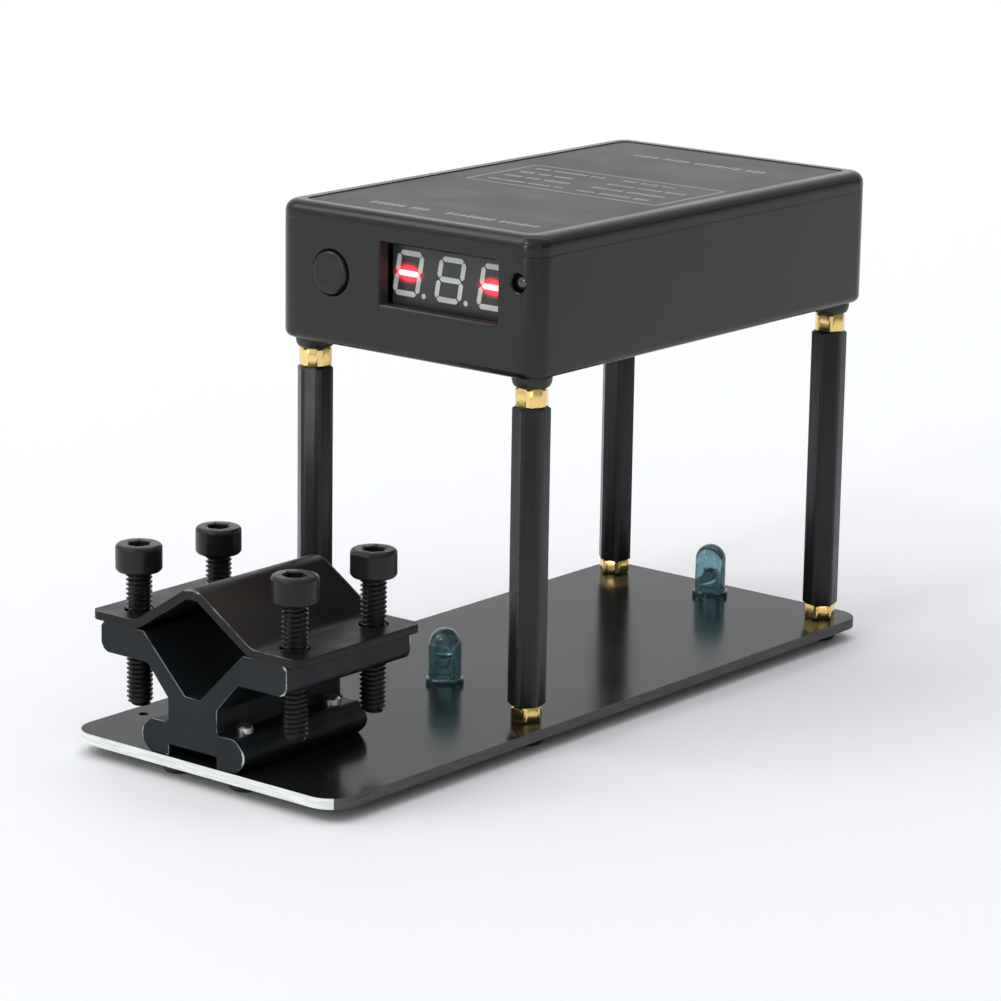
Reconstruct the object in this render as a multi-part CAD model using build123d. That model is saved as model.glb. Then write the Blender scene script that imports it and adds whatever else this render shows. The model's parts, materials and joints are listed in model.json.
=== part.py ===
from build123d import *
import math
import os

# Optical gate chronograph: a base plate with a barrel clamp at its front end, four pillars,
# and a box of electronics above two light gates. Millimetres, +Z up, -Y is the front.
# The origin is on the surface the object stands on, below the centre of the base plate.

# --- base plate -------------------------------------------------------------------------
PLATE_WIDTH = 52.0
PLATE_LENGTH = 130.0
PLATE_THICKNESS = 1.6
PLATE_CORNER = 4.5
SPARE_HOLE_PLACE = (-22.8, -52.4)
SPARE_HOLE_RADIUS = 0.65

# --- fasteners and fits -----------------------------------------------------------------
M3_RADIUS = 1.5
M3_HEAD_RADIUS = 2.75
M3_HEAD_HEIGHT = 2.0
M3_HEX_KEY = 2.0
M4_RADIUS = 2.0
M4_HEAD_RADIUS = 3.5
M4_HEAD_HEIGHT = 4.0
M4_HEX_KEY = 3.0
THREAD_GAP = 0.02
RUNNING_GAP = 0.05
THROUGH_GAP = 0.15
MOVING_GAP = 0.3

# --- legs -------------------------------------------------------------------------------
LEG_SPACING_X = 42.0
LEG_SPACING_Y = 76.0
LEG_CENTRE_Y = 21.4
NUT_HEIGHT = 2.4
COLUMN_LENGTH = 45.0
SPACER_HEIGHT = 3.0
COLLAR_HEIGHT = 1.7
COLLAR_RADIUS = 3.0
COLUMN_ACROSS_FLATS = 5.0
BRASS_ACROSS_FLATS = 4.5
THREAD_DEPTH = 9.0
LEG_SCREW_REACH = 6.0
STUD_REACH = 6.0

# --- enclosure --------------------------------------------------------------------------
BOX_WIDTH = 50.0
BOX_LENGTH = 85.0
BOX_HEIGHT = 21.0
BOX_CORNER = 3.4
BOX_WALL = 2.0
LID_HEIGHT = 3.0
LID_SOFT_EDGE = 1.8
BASE_SOFT_EDGE = 1.2
LID_LIP_DEPTH = 1.5
LID_LIP_WALL = 1.0
LIP_GAP = 0.15
SEAM_BEVEL = 0.15
POST_RADIUS = 3.0
POST_JOINT_BELOW_SEAM = 2.2
STUD_TOP_ABOVE_SEAM = 0.3
LABEL_MARGIN = 3.0
LABEL_THICKNESS = 0.3
LABEL_SUNK = 0.15
LABEL_CORNER = 1.5

# --- front panel ------------------------------------------------------------------------
WINDOW_WIDTH = 22.4
WINDOW_HEIGHT = 9.4
WINDOW_X = 6.7
WINDOW_ABOVE_FLOOR = 12.2
DISPLAY_SETBACK = 3.0
DISPLAY_WIDTH = 22.2
DISPLAY_HEIGHT = 9.8
DISPLAY_DEPTH = 6.1
DIGIT_COUNT = 3
DIGIT_PITCH = 8.0
DIGIT_HEIGHT = 6.9
DIGIT_WIDTH = 5.1
DIGIT_SLANT = 10.0
SEGMENT_STROKE = 0.8
SEGMENT_GAP = 0.12
SEGMENT_THICKNESS = 0.1
POINT_RADIUS = 0.4
LENS_X = 21.7
LENS_ABOVE_FLOOR = 14.1
LENS_RADIUS = 1.35
LENS_DEPTH = 1.7
LENS_SETBACK = 0.5

# --- power button -----------------------------------------------------------------------
BUTTON_X = -14.0
BUTTON_ABOVE_FLOOR = 11.1
BUTTON_RADIUS = 3.3
BUTTON_PROUD = 0.6
BUTTON_TRAVEL = 0.5
BUTTON_FLANGE = 0.45
BUTTON_FLANGE_THICKNESS = 0.7
BUTTON_RING_GAP = 0.1
PLUNGER_RADIUS = 1.6
SWITCH_SIZE = 6.0
SWITCH_DEPTH = 3.4
SWITCH_BORE_DEPTH = 2.0

# --- boards -----------------------------------------------------------------------------
BOARD_THICKNESS = 1.2
MAIN_BOARD_LIFT = 3.5
BOARD_SIDE_GAP = 1.0
BOARD_WALL_GAP = 0.6
FRONT_BOARD_HEIGHT = 11.4
BOSS_RADIUS = 2.0
BOSS_X = 19.0
BOSS_FRONT_INSET = 12.0
BOSS_REAR_INSET = 16.0
M2_RADIUS = 1.0
M2_HEAD_RADIUS = 1.9
M2_HEAD_HEIGHT = 1.3
BATTERY_WIDTH = 34.0
BATTERY_LENGTH = 38.0
BATTERY_HEIGHT = 5.5
BATTERY_PAD = 1.0
BATTERY_CENTRE_Y = 22.0
SOCKET_X = 10.0
SOCKET_WIDTH = 7.5
SOCKET_HEIGHT = 2.6
SOCKET_LENGTH = 5.5
SOCKET_WALL = 0.4
SOCKET_TONGUE = 0.6
HEADER_PINS = 6
HEADER_DEPTH = 2.5
CHIP_PLACE = (-8.0, 50.0)
CHIP_LENGTH = 10.0
CHIP_WIDTH = 4.0
CHIP_HEIGHT = 1.6
CHIP_LIFT = 0.15
CHIP_PINS_A_SIDE = 8
CHIP_PIN_WIDTH = 0.4
CHIP_PIN_REACH = 1.0
CRYSTAL_PLACE = (5.0, 50.0)
CRYSTAL_LENGTH = 10.2
CRYSTAL_WIDTH = 4.3
CRYSTAL_HEIGHT = 3.5
CAN_EDGE = 0.4
CAPACITOR_PLACE = (15.0, 50.0)
CAPACITOR_RADIUS = 3.15
CAPACITOR_HEIGHT = 7.7
PASSIVE_LENGTH = 2.0
PASSIVE_WIDTH = 1.25
PASSIVE_HEIGHT = 0.6
PASSIVE_PITCH = 4.0
PASSIVE_COUNT = 7
PASSIVE_BEHIND_BOARD = 7.3
WIRE_RADIUS = 0.5
WIRE_SPACING = 4.0
WIRE_RUN = 4.0

# --- light gates ------------------------------------------------------------------------
GATE_FRONT_Y = -10.3
GATE_REAR_Y = 58.0
EMITTER_RADIUS = 2.5
EMITTER_HEIGHT = 8.7
FLANGE_RADIUS = 2.9
FLANGE_HEIGHT = 1.0
LEAD_PITCH = 2.54
LEAD_RADIUS = 0.25
LEAD_HOLE_RADIUS = 0.45
LEAD_STICKOUT = 1.3
SOLDER_RADIUS = 1.0
SOLDER_HEIGHT = 0.9
SENSOR_RECESS = 0.3

# --- barrel clamp -----------------------------------------------------------------------
CLAMP_X = -1.35
CLAMP_LENGTH = 26.6
CLAMP_FRONT_INSET = 0.4
FOOT_WIDTH = 21.2
FOOT_BASE_WIDTH = 16.6
FOOT_TOP_WIDTH = 16.2
FOOT_WIDEST_HEIGHT = 2.5
FOOT_HEIGHT = 4.9
FOOT_NOTCH_WIDTH = 9.5
FOOT_NOTCH_HEIGHT = 1.8
STEM_WIDTH = 9.3
STEM_TOP = 8.6
V_FLOOR_HEIGHT = 9.4
V_FLOOR_WIDTH = 3.0
EAR_WIDTH = 35.8
EAR_BOTTOM = 13.1
EAR_TOP = 17.55
EAR_CORNER = 1.2
EAR_ROOT_WIDTH = 17.4
JAW_THICKNESS = 1.25
JAW_WIDTH = 40.5
JAW_BEND_WIDTH = 22.6
JAW_RISE = 7.2
CLAMP_SCREW_SPACING_X = 30.2
CLAMP_SCREW_SPACING_Y = 16.7
CLAMP_SCREW_LENGTH = 20.0
JAW_CORNER = 1.8
JAW_RIDGE_RADIUS = 3.0
JAW_BEND_RADIUS = 4.5
CLAMP_FIXING_SPACING_X = 12.8
CLAMP_FIXING_SPACING_Y = 18.6
CLAMP_FIXING_STICKOUT = 1.1
CLAMP_FIXING_RADIUS = 1.25
CLAMP_FIXING_HEAD_RADIUS = 2.35
CLAMP_FIXING_HEX_KEY = 1.5

# --- heights that follow from the sizes above -------------------------------------------
PLATE_BOTTOM = M3_HEAD_HEIGHT
PLATE_TOP = PLATE_BOTTOM + PLATE_THICKNESS
COLUMN_BOTTOM = PLATE_TOP + NUT_HEIGHT
COLUMN_TOP = COLUMN_BOTTOM + COLUMN_LENGTH
COLLAR_BOTTOM = COLUMN_TOP + SPACER_HEIGHT
BOX_BOTTOM = COLLAR_BOTTOM + COLLAR_HEIGHT
BOX_TOP = BOX_BOTTOM + BOX_HEIGHT
BOX_FLOOR = BOX_BOTTOM + BOX_WALL
SEAM = BOX_TOP - LID_HEIGHT
LID_CEILING = BOX_TOP - BOX_WALL
POST_JOINT = SEAM - POST_JOINT_BELOW_SEAM
STUD_TOP = SEAM + STUD_TOP_ABOVE_SEAM
BOARD_BOTTOM = BOX_FLOOR + MAIN_BOARD_LIFT
BOARD_TOP = BOARD_BOTTOM + BOARD_THICKNESS

# --- places that follow from the sizes above --------------------------------------------
BOX_FRONT = LEG_CENTRE_Y - BOX_LENGTH / 2
BOX_REAR = LEG_CENTRE_Y + BOX_LENGTH / 2
INNER_FRONT = BOX_FRONT + BOX_WALL
INNER_REAR = BOX_REAR - BOX_WALL
DISPLAY_FACE = BOX_FRONT + DISPLAY_SETBACK
FRONT_BOARD_FACE = DISPLAY_FACE + DISPLAY_DEPTH
FRONT_BOARD_BACK = FRONT_BOARD_FACE + BOARD_THICKNESS
MAIN_BOARD_WIDTH = BOX_WIDTH - 2 * BOX_WALL - 2 * BOARD_SIDE_GAP
WINDOW_Z = BOX_BOTTOM + WINDOW_ABOVE_FLOOR
BUTTON_Z = BOX_BOTTOM + BUTTON_ABOVE_FLOOR
LENS_Z = BOX_BOTTOM + LENS_ABOVE_FLOOR
GATES = {"front": GATE_FRONT_Y, "rear": GATE_REAR_Y}
# Each column is screwed down until it is tight, so its flats end up at an angle of its own.
COLUMN_TURN = {"front_left": 23.0, "front_right": 39.0, "rear_left": 15.0, "rear_right": 41.0}
BRASS_TURN = {"front_left": 2.0, "front_right": 30.0, "rear_left": 50.0, "rear_right": 20.0}
# The clamp screws are undone by unequal amounts: this far from head to upper jaw.
BACKED_OFF = {"front_left": 5.8, "front_right": 6.6, "rear_left": 5.2, "rear_right": 7.1}
CLAMP_CENTRE_Y = -PLATE_LENGTH / 2 + CLAMP_FRONT_INSET + CLAMP_LENGTH / 2
BOTTOM = (Align.CENTER, Align.CENTER, Align.MIN)


# --- helpers ----------------------------------------------------------------------------
def around(x, y, spacing_x, spacing_y):
    """The four corners of a rectangle centred on x, y, by name."""
    return {
        "front_left": (x - spacing_x / 2, y - spacing_y / 2),
        "front_right": (x + spacing_x / 2, y - spacing_y / 2),
        "rear_left": (x - spacing_x / 2, y + spacing_y / 2),
        "rear_right": (x + spacing_x / 2, y + spacing_y / 2),
    }


def save(name, *solids):
    """Writes one node: a single solid, or a group of separate solids."""
    shape = solids[0] if len(solids) == 1 else Compound(children=list(solids))
    export_step(shape, f"parts/{name}.step")


def rod(x, y, z, radius, height):
    """An upright cylinder standing on z."""
    return Pos(x, y, z) * Cylinder(radius, height, align=BOTTOM)


def block(x, y, z, width, length, height):
    """An upright box centred on x, y and standing on z."""
    return Pos(x, y, z) * Box(width, length, height, align=BOTTOM)


def rounded_block(x, y, z, width, length, height, corner):
    """An upright box with rounded vertical corners."""
    return extrude(Pos(x, y, z) * RectangleRounded(width, length, corner), height)


def rod_along_y(x, y, z, radius, length):
    """A cylinder that starts at y and runs towards +Y."""
    return Pos(x, y, z) * Rot(-90, 0, 0) * Cylinder(radius, length, align=BOTTOM)


def hexagon_prism(x, y, z, across_flats, height, turn=0.0):
    """An upright hexagonal prism, turned about its own axis by turn degrees."""
    outline = RegularPolygon(across_flats / math.sqrt(3), 6)
    return Pos(x, y, z) * Rot(0, 0, turn) * extrude(outline, height)


def profile_along_y(points, radii, y_front, length):
    """A closed outline in X and Z, drawn out from y_front towards +Y."""
    outline = make_face(Plane.XZ * FilletPolyline(*points, radius=radii, close=True))
    return Pos(0, y_front + length, 0) * extrude(outline, length)


def mirrored(half):
    """Closes a right-hand half outline with its left-hand mirror image."""
    return half + [(-x, z) for x, z in reversed(half)]


LEGS = around(0, LEG_CENTRE_Y, LEG_SPACING_X, LEG_SPACING_Y)


# --- base plate and what is soldered or screwed to it -----------------------------------
def base_plate():
    plate = rounded_block(0, 0, PLATE_BOTTOM, PLATE_WIDTH, PLATE_LENGTH, PLATE_THICKNESS, PLATE_CORNER)
    for x, y in LEGS.values():
        plate -= rod(x, y, PLATE_BOTTOM, M3_RADIUS + THROUGH_GAP, PLATE_THICKNESS)
    for x, y in clamp_fixing_places():
        plate -= rod(x, y, PLATE_BOTTOM, CLAMP_FIXING_RADIUS + THROUGH_GAP, PLATE_THICKNESS)
    for y in GATES.values():
        for x in lead_places():
            plate -= rod(x, y, PLATE_BOTTOM, LEAD_HOLE_RADIUS, PLATE_THICKNESS)
    return plate - rod(*SPARE_HOLE_PLACE, PLATE_BOTTOM, SPARE_HOLE_RADIUS, PLATE_THICKNESS)


def clamp_fixing_places():
    return list(around(CLAMP_X, CLAMP_CENTRE_Y, CLAMP_FIXING_SPACING_X, CLAMP_FIXING_SPACING_Y).values())


def lead_places():
    return [-LEAD_PITCH / 2, LEAD_PITCH / 2]


def button_head_screw(x, y, radius, head_radius, hex_key, reach_above_plate):
    """A low-headed screw driven upwards from below the plate. Its head stands on the surface."""
    head = rod(x, y, 0, head_radius, PLATE_BOTTOM)
    head = fillet(head.edges().group_by(Axis.Z)[0], PLATE_BOTTOM * 0.45)
    head -= hexagon_prism(x, y, 0, hex_key, PLATE_BOTTOM * 0.55)
    shank = rod(x, y, PLATE_BOTTOM, radius, PLATE_THICKNESS + reach_above_plate)
    shank = chamfer(shank.edges().group_by(Axis.Z)[-1], radius * 0.2)
    return head + shank


def leg_screw(x, y):
    return button_head_screw(x, y, M3_RADIUS, M3_HEAD_RADIUS, M3_HEX_KEY, NUT_HEIGHT + LEG_SCREW_REACH)


def emitter(y):
    """A 5 mm round LED with its flange flat on the plate."""
    barrel_height = EMITTER_HEIGHT - EMITTER_RADIUS
    body = rod(0, y, PLATE_TOP, FLANGE_RADIUS, FLANGE_HEIGHT)
    body += rod(0, y, PLATE_TOP, EMITTER_RADIUS, barrel_height)
    body += Pos(0, y, PLATE_TOP + barrel_height) * Sphere(EMITTER_RADIUS)
    flat = block(0, y, PLATE_TOP, FLANGE_RADIUS * 2, FLANGE_RADIUS * 2, FLANGE_HEIGHT)
    return body - Pos(-FLANGE_RADIUS - EMITTER_RADIUS, 0, 0) * flat


def emitter_lead(x, y):
    """One lead through the plate with its solder joint on the underside."""
    tip = PLATE_BOTTOM - LEAD_STICKOUT
    lead = rod(x, y, tip, LEAD_RADIUS, PLATE_TOP - tip)
    joint = Pos(x, y, PLATE_BOTTOM - SOLDER_HEIGHT) * Cone(
        LEAD_RADIUS * 1.4, SOLDER_RADIUS, SOLDER_HEIGHT, align=BOTTOM
    )
    return lead + joint


def ballast_resistor(y):
    bottom = PLATE_BOTTOM - PASSIVE_HEIGHT
    return block(LEAD_PITCH * 2, y, bottom, PASSIVE_LENGTH, PASSIVE_WIDTH, PASSIVE_HEIGHT)


# --- legs -------------------------------------------------------------------------------
def leg_nut(leg):
    x, y = LEGS[leg]
    nut = hexagon_prism(x, y, PLATE_TOP, BRASS_ACROSS_FLATS, NUT_HEIGHT, BRASS_TURN[leg])
    return nut - rod(x, y, PLATE_TOP, M3_RADIUS + THREAD_GAP, NUT_HEIGHT)


def leg_column(leg):
    x, y = LEGS[leg]
    column = hexagon_prism(x, y, COLUMN_BOTTOM, COLUMN_ACROSS_FLATS, COLUMN_LENGTH, COLUMN_TURN[leg])
    column -= rod(x, y, COLUMN_BOTTOM, M3_RADIUS + THREAD_GAP, THREAD_DEPTH)
    column -= rod(x, y, COLUMN_TOP - THREAD_DEPTH, M3_RADIUS + THREAD_GAP, THREAD_DEPTH)
    return column


def leg_spacer(leg):
    x, y = LEGS[leg]
    spacer = hexagon_prism(x, y, COLUMN_TOP, BRASS_ACROSS_FLATS, SPACER_HEIGHT, -BRASS_TURN[leg])
    return spacer - rod(x, y, COLUMN_TOP, M3_RADIUS + THREAD_GAP, SPACER_HEIGHT)


def leg_collar(leg):
    x, y = LEGS[leg]
    collar = rod(x, y, COLLAR_BOTTOM, COLLAR_RADIUS, COLLAR_HEIGHT)
    collar = fillet(collar.edges().group_by(Axis.Z)[0], COLLAR_HEIGHT * 0.4)
    return collar - rod(x, y, COLLAR_BOTTOM, M3_RADIUS + THROUGH_GAP, COLLAR_HEIGHT)


def leg_stud(leg):
    """The threaded stud that draws column, spacer, collar, shell and lid together."""
    x, y = LEGS[leg]
    foot = COLUMN_TOP - STUD_REACH
    stud = rod(x, y, foot, M3_RADIUS, STUD_TOP - foot)
    ends = stud.edges().group_by(Axis.Z)
    return chamfer(ends[0] + ends[-1], M3_RADIUS * 0.2)


# --- enclosure --------------------------------------------------------------------------
def enclosure_base():
    y = LEG_CENTRE_Y
    shell = rounded_block(0, y, BOX_BOTTOM, BOX_WIDTH, BOX_LENGTH, SEAM - BOX_BOTTOM, BOX_CORNER)
    shell = chamfer(shell.edges().group_by(Axis.Z)[-1], SEAM_BEVEL)
    shell = fillet(shell.edges().group_by(Axis.Z)[0], BASE_SOFT_EDGE)
    shell -= inner_box_volume(BOX_FLOOR, BOX_TOP, 0)
    for leg_x, leg_y in LEGS.values():
        shell += rod(leg_x, leg_y, BOX_FLOOR, POST_RADIUS, POST_JOINT - BOX_FLOOR)
    for leg_x, leg_y in LEGS.values():
        shell -= rod(leg_x, leg_y, BOX_BOTTOM, M3_RADIUS + THROUGH_GAP, POST_JOINT - BOX_BOTTOM)
    for boss_x, boss_y in board_boss_places():
        shell += rod(boss_x, boss_y, BOX_FLOOR, BOSS_RADIUS, MAIN_BOARD_LIFT)
        shell -= rod(boss_x, boss_y, BOX_FLOOR, M2_RADIUS + THREAD_GAP, MAIN_BOARD_LIFT)
    for gate_y in GATES.values():
        shell -= rod(0, gate_y, BOX_BOTTOM, EMITTER_RADIUS + THROUGH_GAP, BOX_WALL)
    shell -= window_cut() + button_hole() + lens_pocket() + socket_cut()
    return shell


def board_boss_places():
    ys = (INNER_FRONT + BOSS_FRONT_INSET, INNER_REAR - BOSS_REAR_INSET)
    return [(side * BOSS_X, y) for side in (-1, 1) for y in ys]


def window_cut():
    bottom = WINDOW_Z - WINDOW_HEIGHT / 2
    return block(WINDOW_X, BOX_FRONT + BOX_WALL / 2, bottom, WINDOW_WIDTH, BOX_WALL * 2, WINDOW_HEIGHT)


def button_hole():
    return rod_along_y(BUTTON_X, BOX_FRONT - 1, BUTTON_Z, BUTTON_RADIUS + BUTTON_RING_GAP, BOX_WALL + 1.5)


def lens_pocket():
    return rod_along_y(LENS_X, BOX_FRONT - 1, LENS_Z, LENS_RADIUS + THREAD_GAP, 1 + LENS_SETBACK + LENS_DEPTH)


def enclosure_lid():
    y = LEG_CENTRE_Y
    inner_width = BOX_WIDTH - 2 * BOX_WALL
    inner_length = BOX_LENGTH - 2 * BOX_WALL
    lid = rounded_block(0, y, SEAM, BOX_WIDTH, BOX_LENGTH, LID_HEIGHT, BOX_CORNER)
    lid = fillet(lid.edges().group_by(Axis.Z)[-1], LID_SOFT_EDGE)
    lid = chamfer(lid.edges().group_by(Axis.Z)[0], SEAM_BEVEL)
    lid -= rounded_block(0, y, SEAM, inner_width, inner_length, LID_CEILING - SEAM, BOX_CORNER - BOX_WALL)
    lip_foot = SEAM - LID_LIP_DEPTH
    lip_width = inner_width - 2 * LIP_GAP
    lip_length = inner_length - 2 * LIP_GAP
    lip_height = LID_CEILING - lip_foot
    corner = BOX_CORNER - BOX_WALL
    lip = rounded_block(0, y, lip_foot, lip_width, lip_length, lip_height, corner)
    lip -= rounded_block(
        0, y, lip_foot, lip_width - 2 * LID_LIP_WALL, lip_length - 2 * LID_LIP_WALL, lip_height, corner / 2
    )
    # The lip stops short of the front wall, where the display and the button stand.
    front_bay = FRONT_BOARD_BACK - INNER_FRONT + LIP_GAP
    lip -= block(0, INNER_FRONT, lip_foot, BOX_WIDTH, 2 * front_bay, lip_height)
    lid += lip
    for leg_x, leg_y in LEGS.values():
        post = rod(leg_x, leg_y, POST_JOINT, POST_RADIUS - LIP_GAP, LID_CEILING - POST_JOINT)
        clear = inner_box_volume(POST_JOINT, LID_CEILING, LIP_GAP)
        lid += post & clear
    for leg_x, leg_y in LEGS.values():
        lid -= rod(leg_x, leg_y, POST_JOINT, M3_RADIUS + THREAD_GAP, STUD_TOP + THROUGH_GAP - POST_JOINT)
    lid -= lens_pocket()
    lid -= label_blank(LIP_GAP / 3, LABEL_THICKNESS + LABEL_SUNK)
    return lid


def inner_box_volume(low, high, gap):
    """The space between the walls, a gap inside them, from low to high."""
    width = BOX_WIDTH - 2 * BOX_WALL - 2 * gap
    length = BOX_LENGTH - 2 * BOX_WALL - 2 * gap
    return rounded_block(0, LEG_CENTRE_Y, low, width, length, high - low, BOX_CORNER - BOX_WALL)


def label_blank(gap, height):
    """The label's outline, grown by a gap, standing on the floor of its recess."""
    width = BOX_WIDTH - 2 * LABEL_MARGIN + 2 * gap
    length = BOX_LENGTH - 2 * LABEL_MARGIN + 2 * gap
    floor = BOX_TOP - LABEL_SUNK - LABEL_THICKNESS
    return rounded_block(0, LEG_CENTRE_Y, floor, width, length, height, LABEL_CORNER)


# --- front panel ------------------------------------------------------------------------
def display_module():
    bottom = WINDOW_Z - DISPLAY_HEIGHT / 2
    middle = DISPLAY_FACE + DISPLAY_DEPTH / 2
    return block(WINDOW_X, middle, bottom, DISPLAY_WIDTH, DISPLAY_DEPTH, DISPLAY_HEIGHT)


def segment(length):
    """A bar with pointed ends, lying along X, in the plane of the display's face."""
    half = length / 2 - SEGMENT_GAP
    side = SEGMENT_STROKE / 2
    bar = [(half - side, side), (half, 0), (half - side, -side)]
    outline = bar + [(-x, -y) for x, y in bar]
    return extrude(make_face(Polyline(*outline, close=True)), SEGMENT_THICKNESS)


def digit_segments(centre_x):
    """The seven segments of one slanted digit, by their usual letters."""
    reach = (DIGIT_HEIGHT - SEGMENT_STROKE) / 2
    across = (DIGIT_WIDTH - SEGMENT_STROKE) / 2
    flat = segment(2 * across)
    upright = Rot(0, 0, 90) * segment(reach)
    lean = math.tan(math.radians(DIGIT_SLANT))
    upright = Rot(0, 0, -DIGIT_SLANT) * upright
    places = {
        "a": (flat, 0, reach),
        "b": (upright, across, reach / 2),
        "c": (upright, across, -reach / 2),
        "d": (flat, 0, -reach),
        "e": (upright, -across, -reach / 2),
        "f": (upright, -across, reach / 2),
        "g": (flat, 0, 0),
    }
    face = Plane(origin=(centre_x, DISPLAY_FACE, WINDOW_Z), x_dir=(1, 0, 0), z_dir=(0, -1, 0))
    return {key: face * (Pos(x + y * lean, y, 0) * bar) for key, (bar, x, y) in places.items()}


def digit_centres():
    first = WINDOW_X - DIGIT_PITCH * (DIGIT_COUNT - 1) / 2
    return [first + DIGIT_PITCH * i for i in range(DIGIT_COUNT)]


def decimal_point(centre_x):
    """The round point at the lower right of a digit."""
    drop = (DIGIT_HEIGHT - SEGMENT_STROKE) / 2
    x = centre_x + DIGIT_WIDTH / 2 + POINT_RADIUS
    return rod_along_y(x, DISPLAY_FACE - SEGMENT_THICKNESS, WINDOW_Z - drop, POINT_RADIUS, SEGMENT_THICKNESS)


def display_segments():
    """All segments in two groups. The lit ones are the middle bars of the outer digits."""
    lit = []
    unlit = []
    for index, centre_x in enumerate(digit_centres()):
        for key, bar in digit_segments(centre_x).items():
            is_lit = key == "g" and index != DIGIT_COUNT // 2
            (lit if is_lit else unlit).append(bar)
        unlit.append(decimal_point(centre_x))
    return lit, unlit


def indicator_lens():
    """A small domed lens pressed into its pocket beside the display."""
    front = BOX_FRONT + LENS_SETBACK
    lens = rod_along_y(LENS_X, front, LENS_Z, LENS_RADIUS, LENS_DEPTH)
    return fillet(lens.edges().group_by(Axis.Y)[0], LENS_RADIUS * 0.5)


# --- power button -----------------------------------------------------------------------
def button_cap():
    cap_front = BOX_FRONT - BUTTON_PROUD
    flange_front = INNER_FRONT + MOVING_GAP
    cap = rod_along_y(BUTTON_X, cap_front, BUTTON_Z, BUTTON_RADIUS, flange_front - cap_front)
    cap = fillet(cap.edges().group_by(Axis.Y)[0], BUTTON_RADIUS * 0.12)
    flange_radius = BUTTON_RADIUS + BUTTON_FLANGE
    cap += rod_along_y(BUTTON_X, flange_front, BUTTON_Z, flange_radius, BUTTON_FLANGE_THICKNESS)
    plunger_end = switch_front() + SWITCH_BORE_DEPTH - BUTTON_TRAVEL - MOVING_GAP
    return cap + rod_along_y(BUTTON_X, flange_front, BUTTON_Z, PLUNGER_RADIUS, plunger_end - flange_front)


def switch_front():
    return FRONT_BOARD_FACE - SWITCH_DEPTH


def switch_body():
    middle = FRONT_BOARD_FACE - SWITCH_DEPTH / 2
    body = block(BUTTON_X, middle, BUTTON_Z - SWITCH_SIZE / 2, SWITCH_SIZE, SWITCH_DEPTH, SWITCH_SIZE)
    return body - rod_along_y(
        BUTTON_X, switch_front(), BUTTON_Z, PLUNGER_RADIUS + RUNNING_GAP, SWITCH_BORE_DEPTH
    )


# --- boards and what they carry ---------------------------------------------------------
def main_board():
    front = FRONT_BOARD_FACE - BOARD_THICKNESS
    rear = INNER_REAR - BOARD_WALL_GAP
    board = block(0, (front + rear) / 2, BOARD_BOTTOM, MAIN_BOARD_WIDTH, rear - front, BOARD_THICKNESS)
    for x, y in LEGS.values():
        side = 2 * (POST_RADIUS + BOARD_WALL_GAP)
        board -= block(x, y, BOARD_BOTTOM, side, side, BOARD_THICKNESS)
    for side in (-1, 1):
        corner_x = side * MAIN_BOARD_WIDTH / 2
        board -= block(corner_x, INNER_REAR, BOARD_BOTTOM, 2 * POST_RADIUS, 2 * POST_RADIUS, BOARD_THICKNESS)
    for x, y in board_boss_places():
        board -= rod(x, y, BOARD_BOTTOM, M2_RADIUS + THROUGH_GAP, BOARD_THICKNESS)
    return board


def board_screw(x, y):
    head = rod(x, y, BOARD_TOP, M2_HEAD_RADIUS, M2_HEAD_HEIGHT)
    head = fillet(head.edges().group_by(Axis.Z)[-1], M2_HEAD_HEIGHT * 0.4)
    reach = BOARD_THICKNESS + MAIN_BOARD_LIFT * 0.8
    return head + rod(x, y, BOARD_TOP - reach, M2_RADIUS, reach)


def front_board():
    """The upright board behind the display and the switch, standing on the main board."""
    middle = FRONT_BOARD_FACE + BOARD_THICKNESS / 2
    return block(0, middle, BOARD_TOP, MAIN_BOARD_WIDTH, BOARD_THICKNESS, FRONT_BOARD_HEIGHT)


def board_header():
    """The right-angle pin header that joins the two boards."""
    middle = FRONT_BOARD_BACK + HEADER_DEPTH / 2
    return block(WINDOW_X, middle, BOARD_TOP, LEAD_PITCH * HEADER_PINS, HEADER_DEPTH, HEADER_DEPTH)


def controller_chip():
    """A small-outline chip: the moulded body and a row of gull-wing pins on each side."""
    x, y = CHIP_PLACE
    body = block(x, y, BOARD_TOP + CHIP_LIFT, CHIP_LENGTH, CHIP_WIDTH, CHIP_HEIGHT)
    pin_row = CHIP_WIDTH / 2 + CHIP_PIN_REACH / 2
    pin_height = CHIP_LIFT + CHIP_HEIGHT / 2
    pins = []
    for i in range(CHIP_PINS_A_SIDE):
        pin_x = x + CHIP_LENGTH * ((i + 0.5) / CHIP_PINS_A_SIDE - 0.5)
        for pin_y in (y - pin_row, y + pin_row):
            pins.append(block(pin_x, pin_y, BOARD_TOP, CHIP_PIN_WIDTH, CHIP_PIN_REACH, pin_height))
    return [body] + pins


def timing_crystal():
    x, y = CRYSTAL_PLACE
    can = extrude(Pos(x, y, BOARD_TOP) * SlotOverall(CRYSTAL_LENGTH, CRYSTAL_WIDTH), CRYSTAL_HEIGHT)
    return fillet(can.edges().group_by(Axis.Z)[-1], CAN_EDGE)


def reservoir_capacitor():
    x, y = CAPACITOR_PLACE
    can = rod(x, y, BOARD_TOP, CAPACITOR_RADIUS, CAPACITOR_HEIGHT)
    return fillet(can.edges().group_by(Axis.Z)[-1], CAN_EDGE)


def board_passives():
    """Chip resistors and capacitors behind the display."""
    y = FRONT_BOARD_BACK + PASSIVE_BEHIND_BOARD
    first = -PASSIVE_PITCH * PASSIVE_COUNT / 2
    return [
        block(first + PASSIVE_PITCH * i, y, BOARD_TOP, PASSIVE_LENGTH, PASSIVE_WIDTH, PASSIVE_HEIGHT)
        for i in range(PASSIVE_COUNT)
    ]


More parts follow.
